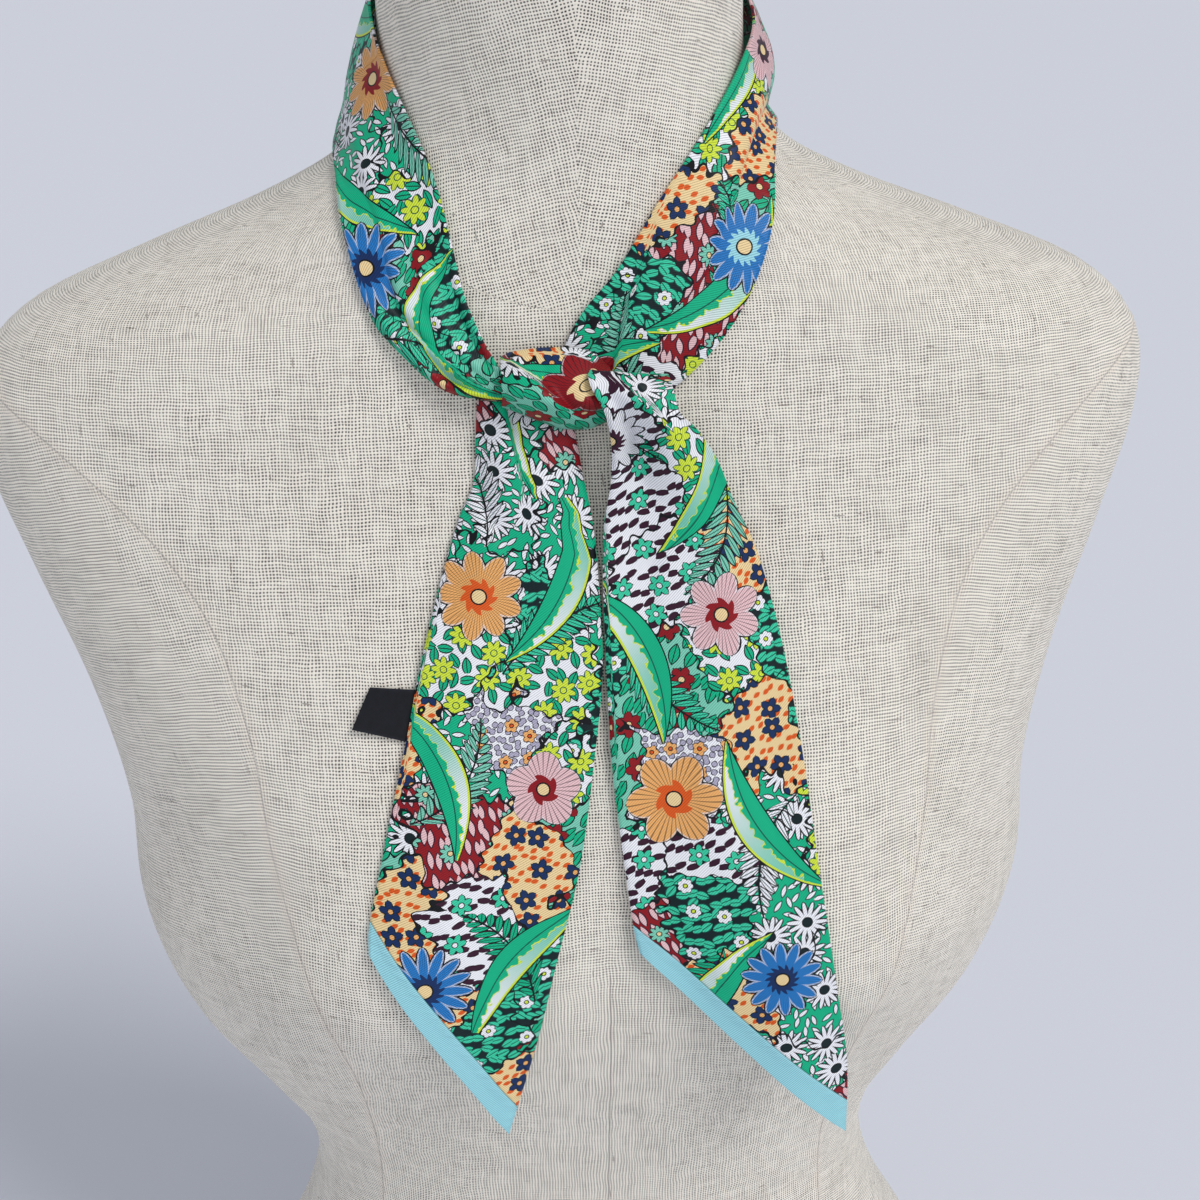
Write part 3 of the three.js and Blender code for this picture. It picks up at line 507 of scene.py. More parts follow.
def nearestOn(path, x, z):
    # how far the crease is, whether the spot lies on its left side, and how high it stands there
    nearest = None
    for (fromX, fromZ, fromLift), (toX, toZ, toLift) in zip(path, path[1:]):
        runX, runZ = toX - fromX, toZ - fromZ
        t = min(1, max(0, ((x - fromX) * runX + (z - fromZ) * runZ) / (runX**2 + runZ**2)))
        overX, overZ = x - fromX - runX * t, z - fromZ - runZ * t
        away = math.hypot(overX, overZ)
        if nearest is None or away < nearest[0]:
            nearest = (away, runX * overZ > runZ * overX, fromLift + (toLift - fromLift) * t)
    return nearest


def creaseLift(folds, x, z):
    lift = 0
    for fold in folds:
        away, onLeft, high = nearestOn(fold["path"], x, z)
        lift += high * math.exp(-((away / fold["left" if onLeft else "right"]) ** 2))
    return lift * scarf["creaseDepth"]


def tucked(folds, x, z):
    # how much cloth the overlapping creases hide between this spot and their gentle side
    cloth = 0
    for fold in folds:
        if fold["hidden"]:
            away, onLeft, high = nearestOn(fold["path"], x, z)
            sharp = min(fold["left"], fold["right"])
            beyond = min(away / sharp, 1) if (fold["left"] < fold["right"]) == onLeft else 0
            cloth += fold["hidden"] * beyond * high / max(abs(point[2]) for point in fold["path"])
    return cloth


def loopSpot(row, across):
    return row["along"], across * scarf["wide"]


def frontSpot(row, across):
    x = row["leftX"] + (row["rightX"] - row["leftX"]) * across
    return x, row["leftZ"] + (row["rightZ"] - row["leftZ"]) * across


def loopPoint(stretch, row, across, folds=()):
    neck = Vector((row["neckX"], row["neckY"], row["neckZ"]))
    outer = Vector((row["outX"], row["outY"], row["outZ"]))
    p = neck.lerp(outer, across)
    out = Vector((p.x, p.y, scarf["loopRise"])).normalized()
    lift = row["bow"] * bowed(across) + row["fold"] * pleat(across, stretch)
    if folds:
        lift += creaseLift(folds, *loopSpot(row, across))
    return clearOfForm(p + out * lift, scarf["offNeck"])


def frontPoint(stretch, row, across, folds=()):
    x, z = frontSpot(row, across)
    soft = scarf["hangSoft"]
    level = scarf["hangFrom"] + soft * math.log(1 + math.exp((z - scarf["hangFrom"]) / soft))
    off = row["off"] + row["bow"] * bowed(across) + row["fold"] * (1 + pleat(across, stretch))
    off += creaseLift(folds, x, z)
    if isTail(stretch):
        # the tails lie close, and their sewn edges closer, except where they come loose at the knot
        near = min(across, 1 - across) * max(abs(row["rightX"] - row["leftX"]), 1)
        drop = scarf["settle"] + scarf["edgeDrop"] * math.exp(-((near / scarf["edgeWide"]) ** 2))
        off -= drop * min(1, max(0, (scarf["looseOff"] - row["off"]) / 3))
    return Vector((x, formFront(x, level) - max(off, scarf["offFront"]), z))


def measured(stretch, pointOf):
    # adds each row's distance down the middle, how far it slants along the band, and how wide the band spreads there
    rows = [dict(row, along=0) for row in stretch["rows"]]
    for before, row in zip(rows, rows[1:]):
        row["along"] = before["along"] + (pointOf(stretch, row, 0.5) - pointOf(stretch, before, 0.5)).length
    for i, row in enumerate(rows):
        before, after = rows[max(i - 1, 0)], rows[min(i + 1, len(rows) - 1)]
        down = (pointOf(stretch, after, 0.5) - pointOf(stretch, before, 0.5)).normalized()
        row["slant"] = down.dot(pointOf(stretch, row, 1) - pointOf(stretch, row, 0))
        spread = runsOver(lambda share: pointOf(stretch, row, share), 24)[-1]
        row["spread"] = min(scarf["wide"], math.sqrt(spread**2 - min(abs(row["slant"]), spread * 0.95) ** 2))
    return rows


def makeStretch(stretch):
    onLoop = stretch["rows"] is loopRows
    pointOf, spotOf = (loopPoint, loopSpot) if onLoop else (frontPoint, frontSpot)
    rows = measured(stretch, pointOf)
    folds = [dict(crease) for crease in creases if crease["on"] == stretch["name"]]
    if onLoop:
        runs = [row["along"] for row in rows]
        for fold in folds:
            fold["path"] = [(readOff(runs, place / (len(rows) - 1)), across * scarf["wide"], lift)
                            for place, across, lift in fold["path"]]
    begin = rows[stretch["from"]]["along"] + (scarf["joint"] if stretch["from"] > 0 else 0)
    end = rows[stretch["to"]]["along"] - (scarf["joint"] if stretch["to"] < len(rows) - 1 else 0)
    found = {}

    def rowOf(along):
        key = round(along, 6)
        if key not in found:
            found[key] = rowAt(rows, "along", begin + (end - begin) * along)
        return found[key]

    def place(along, across):
        return pointOf(stretch, rowOf(along), across, folds)

    def onStrip(row, across):
        run = row["along"] + row["slant"] * (across - 0.5)
        over = scarf["wide"] / 2 + stretch["way"] * (across - 0.5) * row["spread"]
        return stretch["start"] + stretch["way"] * run, over

    def flat(along, across):
        row = rowOf(along)
        down, over = onStrip(row, across)
        return down * mm, (over + tucked(folds, *spotOf(row, across))) * mm

    def toEnd(along, across):
        if not isTail(stretch):
            return 99
        (aDown, aOver), (bDown, bOver) = onStrip(rows[-1], 0), onStrip(rows[-1], 1)
        down, over = onStrip(rowOf(along), across)
        length = math.hypot(bDown - aDown, bOver - aOver)
        return abs((bDown - aDown) * (over - aOver) - (bOver - aOver) * (down - aDown)) / length

    def toEdge(along, across):
        return min(across, 1 - across) * rowOf(along)["spread"]

    piece = gridPiece(stretch["name"], stretch["lanes"], stretch["steps"], place, flat,
                      [("toEnd", toEnd), ("toEdge", toEdge)])
    area = sum(polygon.area for polygon in piece.data.polygons)
    thicken(piece, scarf["thick"], scarf["rounding"], even=True)
    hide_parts(stretch["node"])
    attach(piece, "root")
    # the sheet as it was cut: a tail is longest on one side, as its end slants
    middle = rowOf(1)["along"] - rowOf(0)["along"]
    slant = abs(rows[-1]["slant"]) if isTail(stretch) else 0
    cut = (stretch["shows"] * mm, (middle + slant / 2) * mm)
    cutArea = stretch["shows"] * middle * mm**2
    cutText = " x ".join(str(round(side / mm)) for side in cut)
    print(stretch["name"], "is cut", cutText, "mm; its surface over the cut:", round(area / cutArea, 2))
    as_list(stretch["rests"])
    return piece


scarfPieces = [makeStretch(stretch) for stretch in stretches]
print("scarf done")


def operator(name, swap=False):
    # what a sum, a product or a comparison does with signals: it adds a maths node
    return lambda *values: values[0].nodes.math(name, *(values[::-1] if swap else values))


class Signal:
    # a number, point or colour in a node tree, which sums, products and comparisons can use
    def __init__(self, nodes, socket):
        self.nodes = nodes
        self.socket = socket

    __add__, __sub__, __rsub__ = operator("ADD"), operator("SUBTRACT"), operator("SUBTRACT", swap=True)
    __mul__, __truediv__ = operator("MULTIPLY"), operator("DIVIDE")
    __gt__, __lt__, __abs__ = operator("GREATER_THAN"), operator("LESS_THAN"), operator("ABSOLUTE")


class Nodes:
    # shorthand for wiring one node tree
    def __init__(self, tree):
        self.tree = tree

    def feed(self, socket, value):
        if isinstance(value, Signal):
            self.tree.links.new(value.socket, socket)
        else:
            socket.default_value = value

    def give(self, sockets, values):
        for name, value in values.items():
            self.feed(sockets[name], value)
        return self.tree

    def named(self, sockets):
        return {socket.name: Signal(self, socket) for socket in sockets}

    def new(self, kind, **settings):
        node = self.tree.nodes.new("ShaderNode" + kind)
        for key, value in settings.items():
            setattr(node, key, value)
        return node

    def add(self, kind, settings=None, **inputs):
        node = self.new(kind, **(settings or {}))
        self.give(node.inputs, inputs)
        return self.named(node.outputs)

    def math(self, operation, *values):
        node = self.new("Math", operation=operation)
        for socket, value in zip(node.inputs, values):
            self.feed(socket, value)
        return Signal(self, node.outputs[0])

    def most(self, a, b):
        return self.math("MAXIMUM", a, b)

    def vector(self, operation, a, b=(0, 0, 0)):
        node = self.new("VectorMath", operation=operation)
        self.feed(node.inputs[0], a)
        self.feed(node.inputs[1], b)
        return Signal(self, node.outputs["Value" if operation == "LENGTH" else "Vector"])

    def join(self, x, y, z=0.0):
        return self.add("CombineXYZ", X=x, Y=y, Z=z)["Vector"]

    def split(self, vector):
        return self.add("SeparateXYZ", Vector=vector).values()

    def chance(self, colour, part="Red"):
        return self.add("SeparateColor", Color=colour)[part]

    def turned(self, vector, angle):
        return self.add("VectorRotate", {"rotation_type": "Z_AXIS"}, Vector=vector, Angle=angle)["Vector"]

    def mix(self, share, low, high):
        node = self.new("Mix", data_type="RGBA")
        for i, value in ((0, share), (6, low), (7, high)):
            self.feed(node.inputs[i], value)
        return Signal(self, node.outputs[2])

    def noise(self, vector, scale, detail=2.0):
        return self.add("TexNoise", {"noise_dimensions": "2D"}, Vector=vector, Scale=scale, Detail=detail)["Fac"]

    def cells(self, vector, loose, feature="F1"):
        settings = {"voronoi_dimensions": "2D", "feature": feature}
        return self.add("TexVoronoi", settings, Vector=vector, Scale=1.0, Randomness=loose)

    def fade(self, value, low, high, start=0.0, end=1.0):
        node = self.new("MapRange", interpolation_type="SMOOTHSTEP")
        self.give(node.inputs, {"Value": value, "From Min": low, "From Max": high, "To Min": start, "To Max": end})
        return Signal(self, node.outputs[0])

    def ridge(self, value):
        # half a turn out of step with whole numbers: nothing halfway between them, and 0.5 at each
        return abs(self.math("FRACT", value) - 0.5)

    def use(self, group, **inputs):
        return self.add("Group", {"node_tree": group}, **inputs)

    def attribute(self, name):
        return self.add("Attribute", {"attribute_name": name})["Fac"]

    def onCloth(self):
        # the place on the flat cloth, in mm
        return self.vector("MULTIPLY", self.add("UVMap", {"uv_map": "cloth"})["UV"], (1000, 1000, 0))

    def bump(self, height, distance, strength, **more):
        return self.add("Bump", Height=height, Distance=distance, Strength=strength, **more)["Normal"]


def newGroup(name, inputs, outputs):
    # a number, a point or a colour tells what its input takes
    tree = bpy.data.node_groups.new(name, "ShaderNodeTree")
    for label, value in inputs.items():
        kind = "Float" if isinstance(value, float) else {3: "Vector", 4: "Color"}[len(value)]
        socket = tree.interface.new_socket(label, in_out="INPUT", socket_type="NodeSocket" + kind)
        socket.default_value = value
    for label, kind in outputs.items():
        tree.interface.new_socket(label, in_out="OUTPUT", socket_type="NodeSocket" + kind)
    nodes = Nodes(tree)
    return nodes, nodes.named(tree.nodes.new("NodeGroupInput").outputs), tree.nodes.new("NodeGroupOutput").inputs


def newMaterial(name):
    material = bpy.data.materials.new(name)
    material.use_nodes = True
    return material, Nodes(material.node_tree), material.node_tree.nodes["Principled BSDF"].inputs


def cover(pieces, material):
    for piece in pieces:
        piece.data.materials.clear()
        piece.data.materials.append(material)


plain = (0.0, 0.0, 0.0)
grey = (0.5, 0.5, 0.5, 1.0)
circle = 2 * math.pi


# scattered places: where a point lies from the nearest one, in mm, and that place's own random colour
def makeScatter():
    nodes, start, end = newGroup(
        "scatter", {"Place": plain, "Size": 10.0, "Long": 1.0, "Loose": 0.6, "Shift": plain},
        {"Local": "Vector", "Pick": "Color"})
    size = nodes.join(start["Size"] * start["Long"], start["Size"], 1.0)
    at = nodes.vector("DIVIDE", nodes.vector("ADD", start["Place"], start["Shift"]), size)
    cells = nodes.cells(at, start["Loose"])
    local = nodes.vector("MULTIPLY", nodes.vector("SUBTRACT", at, cells["Position"]), size)
    return nodes.give(end, {"Local": local, "Pick": cells["Color"]})


# how far inside a ring of petals a point lies, in mm; Tip above 1 fattens the petals' outer half
def makePetals():
    nodes, start, end = newGroup(
        "petals", {"Local": plain, "Count": 8.0, "Reach": 8.0, "Wide": 1.0, "Turn": 0.0, "Tip": 1.0},
        {"Inside": "Float", "Radius": "Float", "Side": "Float"})
    x, y, _ = nodes.split(start["Local"])
    radius = nodes.vector("LENGTH", start["Local"])
    share = (nodes.math("ARCTAN2", y, x) + start["Turn"]) / circle
    side = nodes.math("FRACT", share * start["Count"]) - 0.5
    lateral = abs(side) * (radius * circle / start["Count"])
    out = radius / start["Reach"]
    profile = nodes.math("POWER", out, start["Tip"]) * nodes.math("SQRT", nodes.most(1.0 - out, 0.0))
    beyond = nodes.most(out - 1.0, 0.0) * start["Reach"]
    inside = profile * start["Wide"] * 2.3 - lateral - beyond
    return nodes.give(end, {"Inside": inside, "Radius": radius, "Side": side})


# how far inside a pointed leaf a point lies, in mm; Side tells its two halves apart
def makeLeaf():
    nodes, start, end = newGroup(
        "leaf", {"Local": plain, "Half": 3.0, "Wide": 1.0, "Turn": 0.0, "Bend": 0.0},
        {"Inside": "Float", "Side": "Float", "Along": "Float"})
    x, y, _ = nodes.split(nodes.turned(start["Local"], start["Turn"]))
    along = x / start["Half"]
    square = along * along
    side = y - square * start["Bend"]
    inside = (1.0 - square) * start["Wide"] - abs(side)
    return nodes.give(end, {"Inside": inside, "Side": side, "Along": along})


# paints one motif with its inked outline over what is there
def makePaint():
    nodes, start, end = newGroup(
        "paint", {"Base": grey, "Inside": 0.0, "Fill": grey, "Ink": grey, "Line": 0.35, "Where": 1.0},
        {"Color": "Color"})
    inked = start["Inside"] + start["Line"] > 0.0
    filled = start["Inside"] > 0.0
    colour = nodes.mix(inked * start["Where"], start["Base"], start["Ink"])
    return nodes.give(end, {"Color": nodes.mix(filled * start["Where"], colour, start["Fill"])})


scatterGroup, petalsGroup, leafGroup, paintGroup = makeScatter(), makePetals(), makeLeaf(), makePaint()

linen = {
    # the hole colour is painted shade in the gaps between the yarns, and also draws the seams' fine line
    "pitch": 1.03, "light": (240, 234, 223), "shade": (210, 203, 191), "hole": (22, 18, 15), "fleck": (98, 84, 66),
    "paintedSeamSheen": (226, 212, 198), "panelTurn": 0.22, "roughness": 0.92, "bump": 0.22,
    "tones": (0.15, 1.2),  # the weave's tone where it is in full shade and in full light
    "yarn": (0.21, 0.31),  # where its side begins and ends, from its middle
    "flecks": ((0.05, 17.0, (3, 7, 0)), (1.53, 23.0, (41, 13, 0))),  # direction, one to each this many mm, and shift
    "fleckHalf": 2.6, "fleckWide": 0.22, "fleckShows": 0.7,
    "paintedSheen": (0.6, 4.0, 0.25, 0.0), "line": (0.15, 0.45, 1.0, 0.0),  # from and to, in mm off a seam, and how strong
    "bustLine": 0.352, "top": 0.6895,  # the middle seam ends in front at the one, and all round at the other
}


def makeWeave():
    nodes, start, end = newGroup(
        "plainWeave", {"Cloth": plain, "Pitch": 1.0}, {"Height": "Float", "Hole": "Float", "Tone": "Float"})
    at = nodes.vector("DIVIDE", start["Cloth"], nodes.join(start["Pitch"], start["Pitch"], 1.0))
    sway = nodes.noise(at, 0.07, 3.0)
    x, y, _ = nodes.split(nodes.vector("ADD", at, nodes.join(sway * 2.2, sway * 1.6)))
    warp, weft = nodes.math("FLOOR", x), nodes.math("FLOOR", y)
    # each yarn swells and thins along its length
    warpFat = nodes.noise(nodes.join(warp * 7.31, y * 0.09), 1.0)
    weftFat = nodes.noise(nodes.join(x * 0.09, weft * 5.77), 1.0)
    overX, overY = nodes.ridge(x), nodes.ridge(y)
    gapX = nodes.fade(overX - (warpFat - 0.5) * 0.3, *linen["yarn"])
    hole = gapX * nodes.fade(overY - (weftFat - 0.5) * 0.3, *linen["yarn"])
    odd = nodes.math("MODULO", abs(warp + weft), 2.0)
    crest = odd * (1.0 - overX * overX * 4.0) + (1.0 - odd) * (1.0 - overY * overY * 4.0)
    fat = odd * warpFat + (1.0 - odd) * weftFat
    # the tone lightens on each yarn's crest, a painted highlight, and where the yarn runs thick
    return nodes.give(end, {"Height": crest * fat - hole, "Hole": hole, "Tone": crest * 0.35 + fat * 0.8})


def makeLinen():
    material, nodes, skin = newMaterial("linen")
    light, shade, dark, bark, paintedSheen = (linear(*linen[k]) for k in ("light", "shade", "hole", "fleck", "paintedSeamSheen"))
    gap = nodes.attribute("seamGap")
    x, y, z = nodes.split(nodes.add("TexCoord")["Object"])
    # the side panels' threads lean
    cloth = nodes.turned(nodes.onCloth(), (gap > 0.0) * (nodes.math("SIGN", x) * linen["panelTurn"]))
    weave = nodes.use(makeWeave(), Cloth=cloth, Pitch=linen["pitch"])
    tone = weave["Tone"] + nodes.noise(cloth, 0.03, 4.0) * 0.5
    colour = nodes.mix(nodes.fade(tone, *linen["tones"]), shade, light)
    # painted shade in the holes between the yarns
    colour = nodes.mix(weave["Hole"] * 0.95, colour, dark)
    # dark flecks of bark, lying along the yarns
    for turn, size, shift in linen["flecks"]:
        fleck = nodes.use(scatterGroup, Place=cloth, Size=size, Loose=1.0, Shift=shift)
        half = nodes.chance(fleck["Pick"]) * linen["fleckHalf"]
        shape = nodes.use(leafGroup, Local=fleck["Local"], Half=half, Wide=linen["fleckWide"], Turn=turn)
        seen = (shape["Inside"] > 0.0) * (nodes.chance(fleck["Pick"], "Green") > 0.5)
        colour = nodes.mix(seen * linen["fleckShows"], colour, bark)
    # seams: a pressed ridge painted lighter, a painted sheen, and the fine line where two panels meet
    noMiddle = nodes.most((y < 0.0) * (z > linen["bustLine"]), z > linen["top"])
    nearest = nodes.math("MINIMUM", abs(gap), abs(x) * 1000.0 + noMiddle * 99.0)
    colour = nodes.mix(nodes.fade(abs(gap), *linen["paintedSheen"]), colour, paintedSheen)
    line = nodes.fade(nearest, *linen["line"])
    nodes.give(skin, {
        "Base Color": nodes.mix(line * 0.3, colour, dark),
        "Normal": nodes.bump(weave["Height"] * 0.2 - line * 0.5, 0.001, linen["bump"]),
        "Roughness": linen["roughness"], "Sheen Weight": 0.15, "Sheen Roughness": 0.6,
    })
    return material


cover(formPieces, makeLinen())
print("linen done")

inks = {
    "line": (6, 8, 15), "emerald": (2, 184, 136), "jade": (58, 208, 166), "deep": (4, 84, 72), "dark": (6, 32, 36),
    "mint": (126, 208, 184), "lime": (214, 234, 66), "white": (243, 244, 250), "lilac": (178, 174, 198),
    "blush": (236, 196, 200), "cream": (242, 214, 160), "peach": (242, 178, 108), "orange": (226, 92, 28),
    "red": (146, 14, 26), "plum": (56, 16, 42), "blue": (38, 128, 206), "navy": (16, 46, 96), "sky": (158, 220, 232),
}
ink = {name: linear(*colour) for name, colour in inks.items()}
twill = {
    "pitch": 0.66, "border": 7.6, "roughness": 0.42, "bump": 0.25, "patch": 30.0, "furrowShade": 0.44,
    # from and to, in mm off an edge or a seam, and how strong
    "edgePucker": (0.6, 6.0, 1.0, 0.0), "seamPucker": (0.3, 4.0, 1.0, 0.0),
    "edgeRound": (0.0, 1.1, 0.0, 0.5), "seamRound": (0.0, 0.6, 0.0, 0.3), "seamLine": (0.1, 0.3, 0.45, 0.0),
}
# how wide each motif's outline is, in mm
outline = {"patch": 0.42, "flower": 0.42, "heart": 0.3, "blade": 0.45, "sprig": 0.42, "bloom": 0.5}
# grounds between the big motifs, each strewn with small leaves and flowers; share is how much of the cloth it covers.
# leaf: half length, half width, direction and stray in turns. flower: petals, reach, half width, and the mm to each
grounds = table(
    "share ground fill edge size long leaf line flower petal rim heart",
    (0.2, "dark", "jade", "deep", 3.1, 1.35, (2.5, 1.25, 0.12, 0.22), 0.3, (7, 2.4, 0.9, 12), "white", "line", "lime"),
    (0.2, "emerald", "white", "dark", 3.6, 1.2, (1.9, 0.62, 0, 1), 0.36, (14, 6.8, 0.62, 15), "white", "line", "dark"),
    (0.15, "white", "emerald", "line", 4.2, 1.2, (2.7, 1.15, 0, 1), 0.4, (8, 4, 0.8, 11), "lime", "deep", "lime"),
    (0.1, "cream", "orange", "peach", 2.9, 1.3, (1.3, 0.7, 0.1, 0.1), 0.15, (5, 3.4, 0.95, 10), "navy", "dark",
     "peach"),
    (0.08, "white", "plum", "line", 3.3, 1.6, (2.7, 0.85, 0.15, 0.1), 0.2, (6, 3.4, 0.9, 13), "jade", "line", "white"),
    (0.1, "red", "blush", "plum", 2.7, 2.2, (2.7, 0.85, 0.9, 0.08), 0.42, (9, 3.2, 0.6, 15), "mint", "line", "cream"),
    (0.07, "white", "lilac", "line", 2.2, 1.1, (0.95, 0.8, 0, 1), 0.34, (5, 2.2, 0.9, 9), "peach", "line", "orange"),
    (0.1, "mint", "emerald", "line", 4.4, 1.5, (3.3, 1.5, 0.05, 0.1), 0.42, (6, 4.2, 1.3, 14), "red", "line", "cream"),
)
# big motifs, one to each length of strip: shift along it and place across it in mm, turn in radians, bend in mm
blades = {"every": 58.0, "offset": 0.0, "half": 30.0, "wide": 5.4, "list": [
    (4, 42, 0.45, 9), (-3, 14, -0.5, -8), (0, 47, 0.6, 10), (3, 15, -0.3, 9), (0, 32, 0.55, 8), (4, 44, -0.35, -9),
    (-4, 16, -0.3, 8), (2, 44, 0.35, 9), (0, 22, -0.45, 9), (5, 42, 0.5, -9), (-3, 18, -0.35, 8), (0, 46, 0.45, 8),
    (3, 16, 0.5, 8), (-2, 32, -0.45, 9), (0, 14, 0.6, 9), (4, 46, -0.5, -9), (-2, 14, 0.35, -8), (2, 42, 0.45, 8),
    (0, 20, -0.5, 9), (3, 44, 0.4, 8),
]}
sprigs = {"every": 49.0, "offset": 31.0, "half": 21.0, "leaf": 7.4, "step": 3.1, "list": [
    (0, 17, 0.5, 5), (2, 46, -0.6, -6), (-3, 15, 0.8, 6), (0, 40, -0.4, 7), (3, 20, -0.9, -5), (-2, 47, 0.5, 6),
    (0, 13, -0.5, 6), (3, 38, 0.9, -6), (-3, 20, 0.4, 7), (2, 45, -0.7, 5), (0, 14, 0.6, -7), (-2, 42, 0.5, 6),
    (3, 18, -0.8, 5), (0, 44, 0.7, -6), (-3, 16, -0.5, 6), (2, 46, 0.4, 7), (0, 21, 0.9, -5), (-2, 40, -0.6, 6),
    (3, 15, 0.5, 6), (0, 45, -0.5, -7), (-3, 18, 0.7, 5), (2, 43, -0.4, 6), (0, 14, -0.9, -6), (-2, 41, 0.6, 6),
]}
# after the place: petals, reach, half width, tip, then the inks of petal and heart
blooms = {"every": 62.0, "offset": 17.0, "list": [
    (2, 19, 6, 15, 6.0, 0.9, "red", "peach"), (-4, 40, 15, 15, 1.9, 0.7, "blue", "navy"),
    (3, 15, 5, 12, 6.2, 0.8, "blush", "red"), (0, 43, 9, 14, 3.6, 0.8, "peach", "orange"),
    (4, 21, 16, 12, 1.5, 0.7, "white", "plum"), (-3, 41, 6, 15, 5.8, 0.9, "red", "cream"),
    (0, 18, 14, 13, 2.0, 0.7, "blue", "sky"), (2, 42, 7, 13, 4.2, 0.9, "blush", "plum"),
    (0, 17, 6, 15, 5.4, 0.9, "red", "peach"), (-2, 41, 16, 12, 1.5, 0.7, "white", "dark"),
    (3, 18, 5, 12, 6.0, 0.8, "cream", "orange"), (0, 43, 10, 14, 3.1, 0.8, "peach", "red"),
    (-3, 19, 14, 14, 1.9, 0.7, "blue", "navy"), (2, 42, 6, 14, 5.4, 0.9, "red", "cream"),
    (0, 16, 15, 12, 1.6, 0.7, "white", "plum"), (3, 40, 7, 13, 4.2, 0.9, "blush", "red"),
    (-2, 18, 6, 15, 5.8, 0.9, "peach", "orange"), (0, 43, 14, 13, 2.0, 0.7, "blue", "navy"),
]}


def stepped(nodes, share, starts, colours):
    # one flat colour from each start to the next
    node = nodes.new("ValToRGB")
    nodes.feed(node.inputs[0], share)
    node.color_ramp.interpolation = "CONSTANT"
    points = node.color_ramp.elements
    while len(points) < len(starts):
        points.new(0.5)
    for point, start in zip(points, starts):
        point.position = start
    for point, colour in zip(points, colours):
        point.color = colour
    return Signal(nodes, node.outputs[0])


def lookUp(nodes, share, starts, rows):
    # reads one row of numbers between -50 and 50, three at a time, off stepped colours
    found = []
    for column in range(0, len(rows[0]), 3):
        colours = [[value / 100 + 0.5 for value in (*row, 0, 0)[column:column + 3]] + [1] for row in rows]
        centred = nodes.vector("SUBTRACT", stepped(nodes, share, starts, colours), (0.5, 0.5, 0.5))
        found += nodes.split(nodes.vector("MULTIPLY", centred, (100, 100, 100)))
    return found[:len(rows[0])]


def inksAt(nodes, share, starts, names):
    return stepped(nodes, share, starts, [ink[name] for name in names])


def paint(nodes, base, inside, fill, line, rim=ink["line"], where=1.0):
    return nodes.use(paintGroup, Base=base, Inside=inside, Fill=fill, Ink=rim, Line=line, Where=where)["Color"]


def makeGrounds(nodes, place, slow):
    starts = [sum(ground["share"] for ground in grounds[:i]) for i in range(len(grounds))]
    x, y, _ = nodes.split(place)
    bend = nodes.join(slow * 30.0 + nodes.math("SINE", y * 1.25), slow * -22.0 + nodes.math("SINE", x * 1.15))
    size = twill["patch"]
    at = nodes.vector("DIVIDE", nodes.vector("ADD", place, bend), (size, size * 0.85, 1))
    kind = nodes.chance(nodes.cells(at, 0.9)["Color"])
    colour = makeStrewn(nodes, place, kind, starts)
    toRim = nodes.cells(at, 0.9, "DISTANCE_TO_EDGE")["Distance"] * (size * 0.9)
    return nodes.mix(toRim < outline["patch"], colour, ink["line"])


def makeStrewn(nodes, place, kind, starts):
    paints = {key: inksAt(nodes, kind, starts, [ground[key] for ground in grounds])
              for key in ("ground", "fill", "edge", "petal", "rim", "heart")}
    size, long, half, wide, turn, stray, line = lookUp(
        nodes, kind, starts, [(g["size"], g["long"], *g["leaf"], g["line"]) for g in grounds])
    spots = nodes.use(scatterGroup, Place=place, Size=size, Long=long, Loose=0.62)
    angle = (turn + nodes.chance(spots["Pick"]) * stray) * circle
    leaf = nodes.use(leafGroup, Local=spots["Local"], Half=half, Wide=wide, Turn=angle)
    fill = nodes.mix((abs(leaf["Side"]) < 0.15) * (wide > 1.0), paints["fill"], paints["edge"])
    colour = paint(nodes, paints["ground"], leaf["Inside"], fill, line, paints["edge"])
    count, reach, petal, every = lookUp(nodes, kind, starts, [ground["flower"] for ground in grounds])
    spots = nodes.use(scatterGroup, Place=place, Size=every, Loose=0.5, Shift=(5, 9, 0))
    flower = nodes.use(petalsGroup, Local=spots["Local"], Count=count, Reach=reach, Wide=petal, Tip=0.7,
                       Turn=nodes.chance(spots["Pick"]) * 6.0)
    colour = paint(nodes, colour, flower["Inside"], paints["petal"], outline["flower"], paints["rim"])
    heart = reach * 0.22 - flower["Radius"]
    return paint(nodes, colour, heart, paints["heart"], outline["heart"], paints["rim"])


def inSlot(nodes, place, motif, rows):
    # which motif of the list a point belongs to, where it lies from that one, and what the list says of it
    x, y, _ = nodes.split(place)
    slot = (x + motif["offset"]) / motif["every"]
    share = (nodes.math("FLOOR", slot) + 0.5) / len(rows)
    along = (nodes.math("FRACT", slot) - 0.5) * motif["every"]
    starts = [i / len(rows) for i in range(len(rows))]
    shift, across, *numbers = lookUp(nodes, share, starts, rows)
    return share, starts, nodes.join(along - shift, y - across), numbers


def leafInSlot(nodes, place, motif, wide):
    rows = [(shift, across, turn * 10, bend) for shift, across, turn, bend in motif["list"]]
    share, starts, local, (turn, bend) = inSlot(nodes, place, motif, rows)
    leaf = nodes.use(leafGroup, Local=local, Half=motif["half"], Wide=wide, Bend=bend, Turn=turn * -0.1)
    return share, starts, leaf


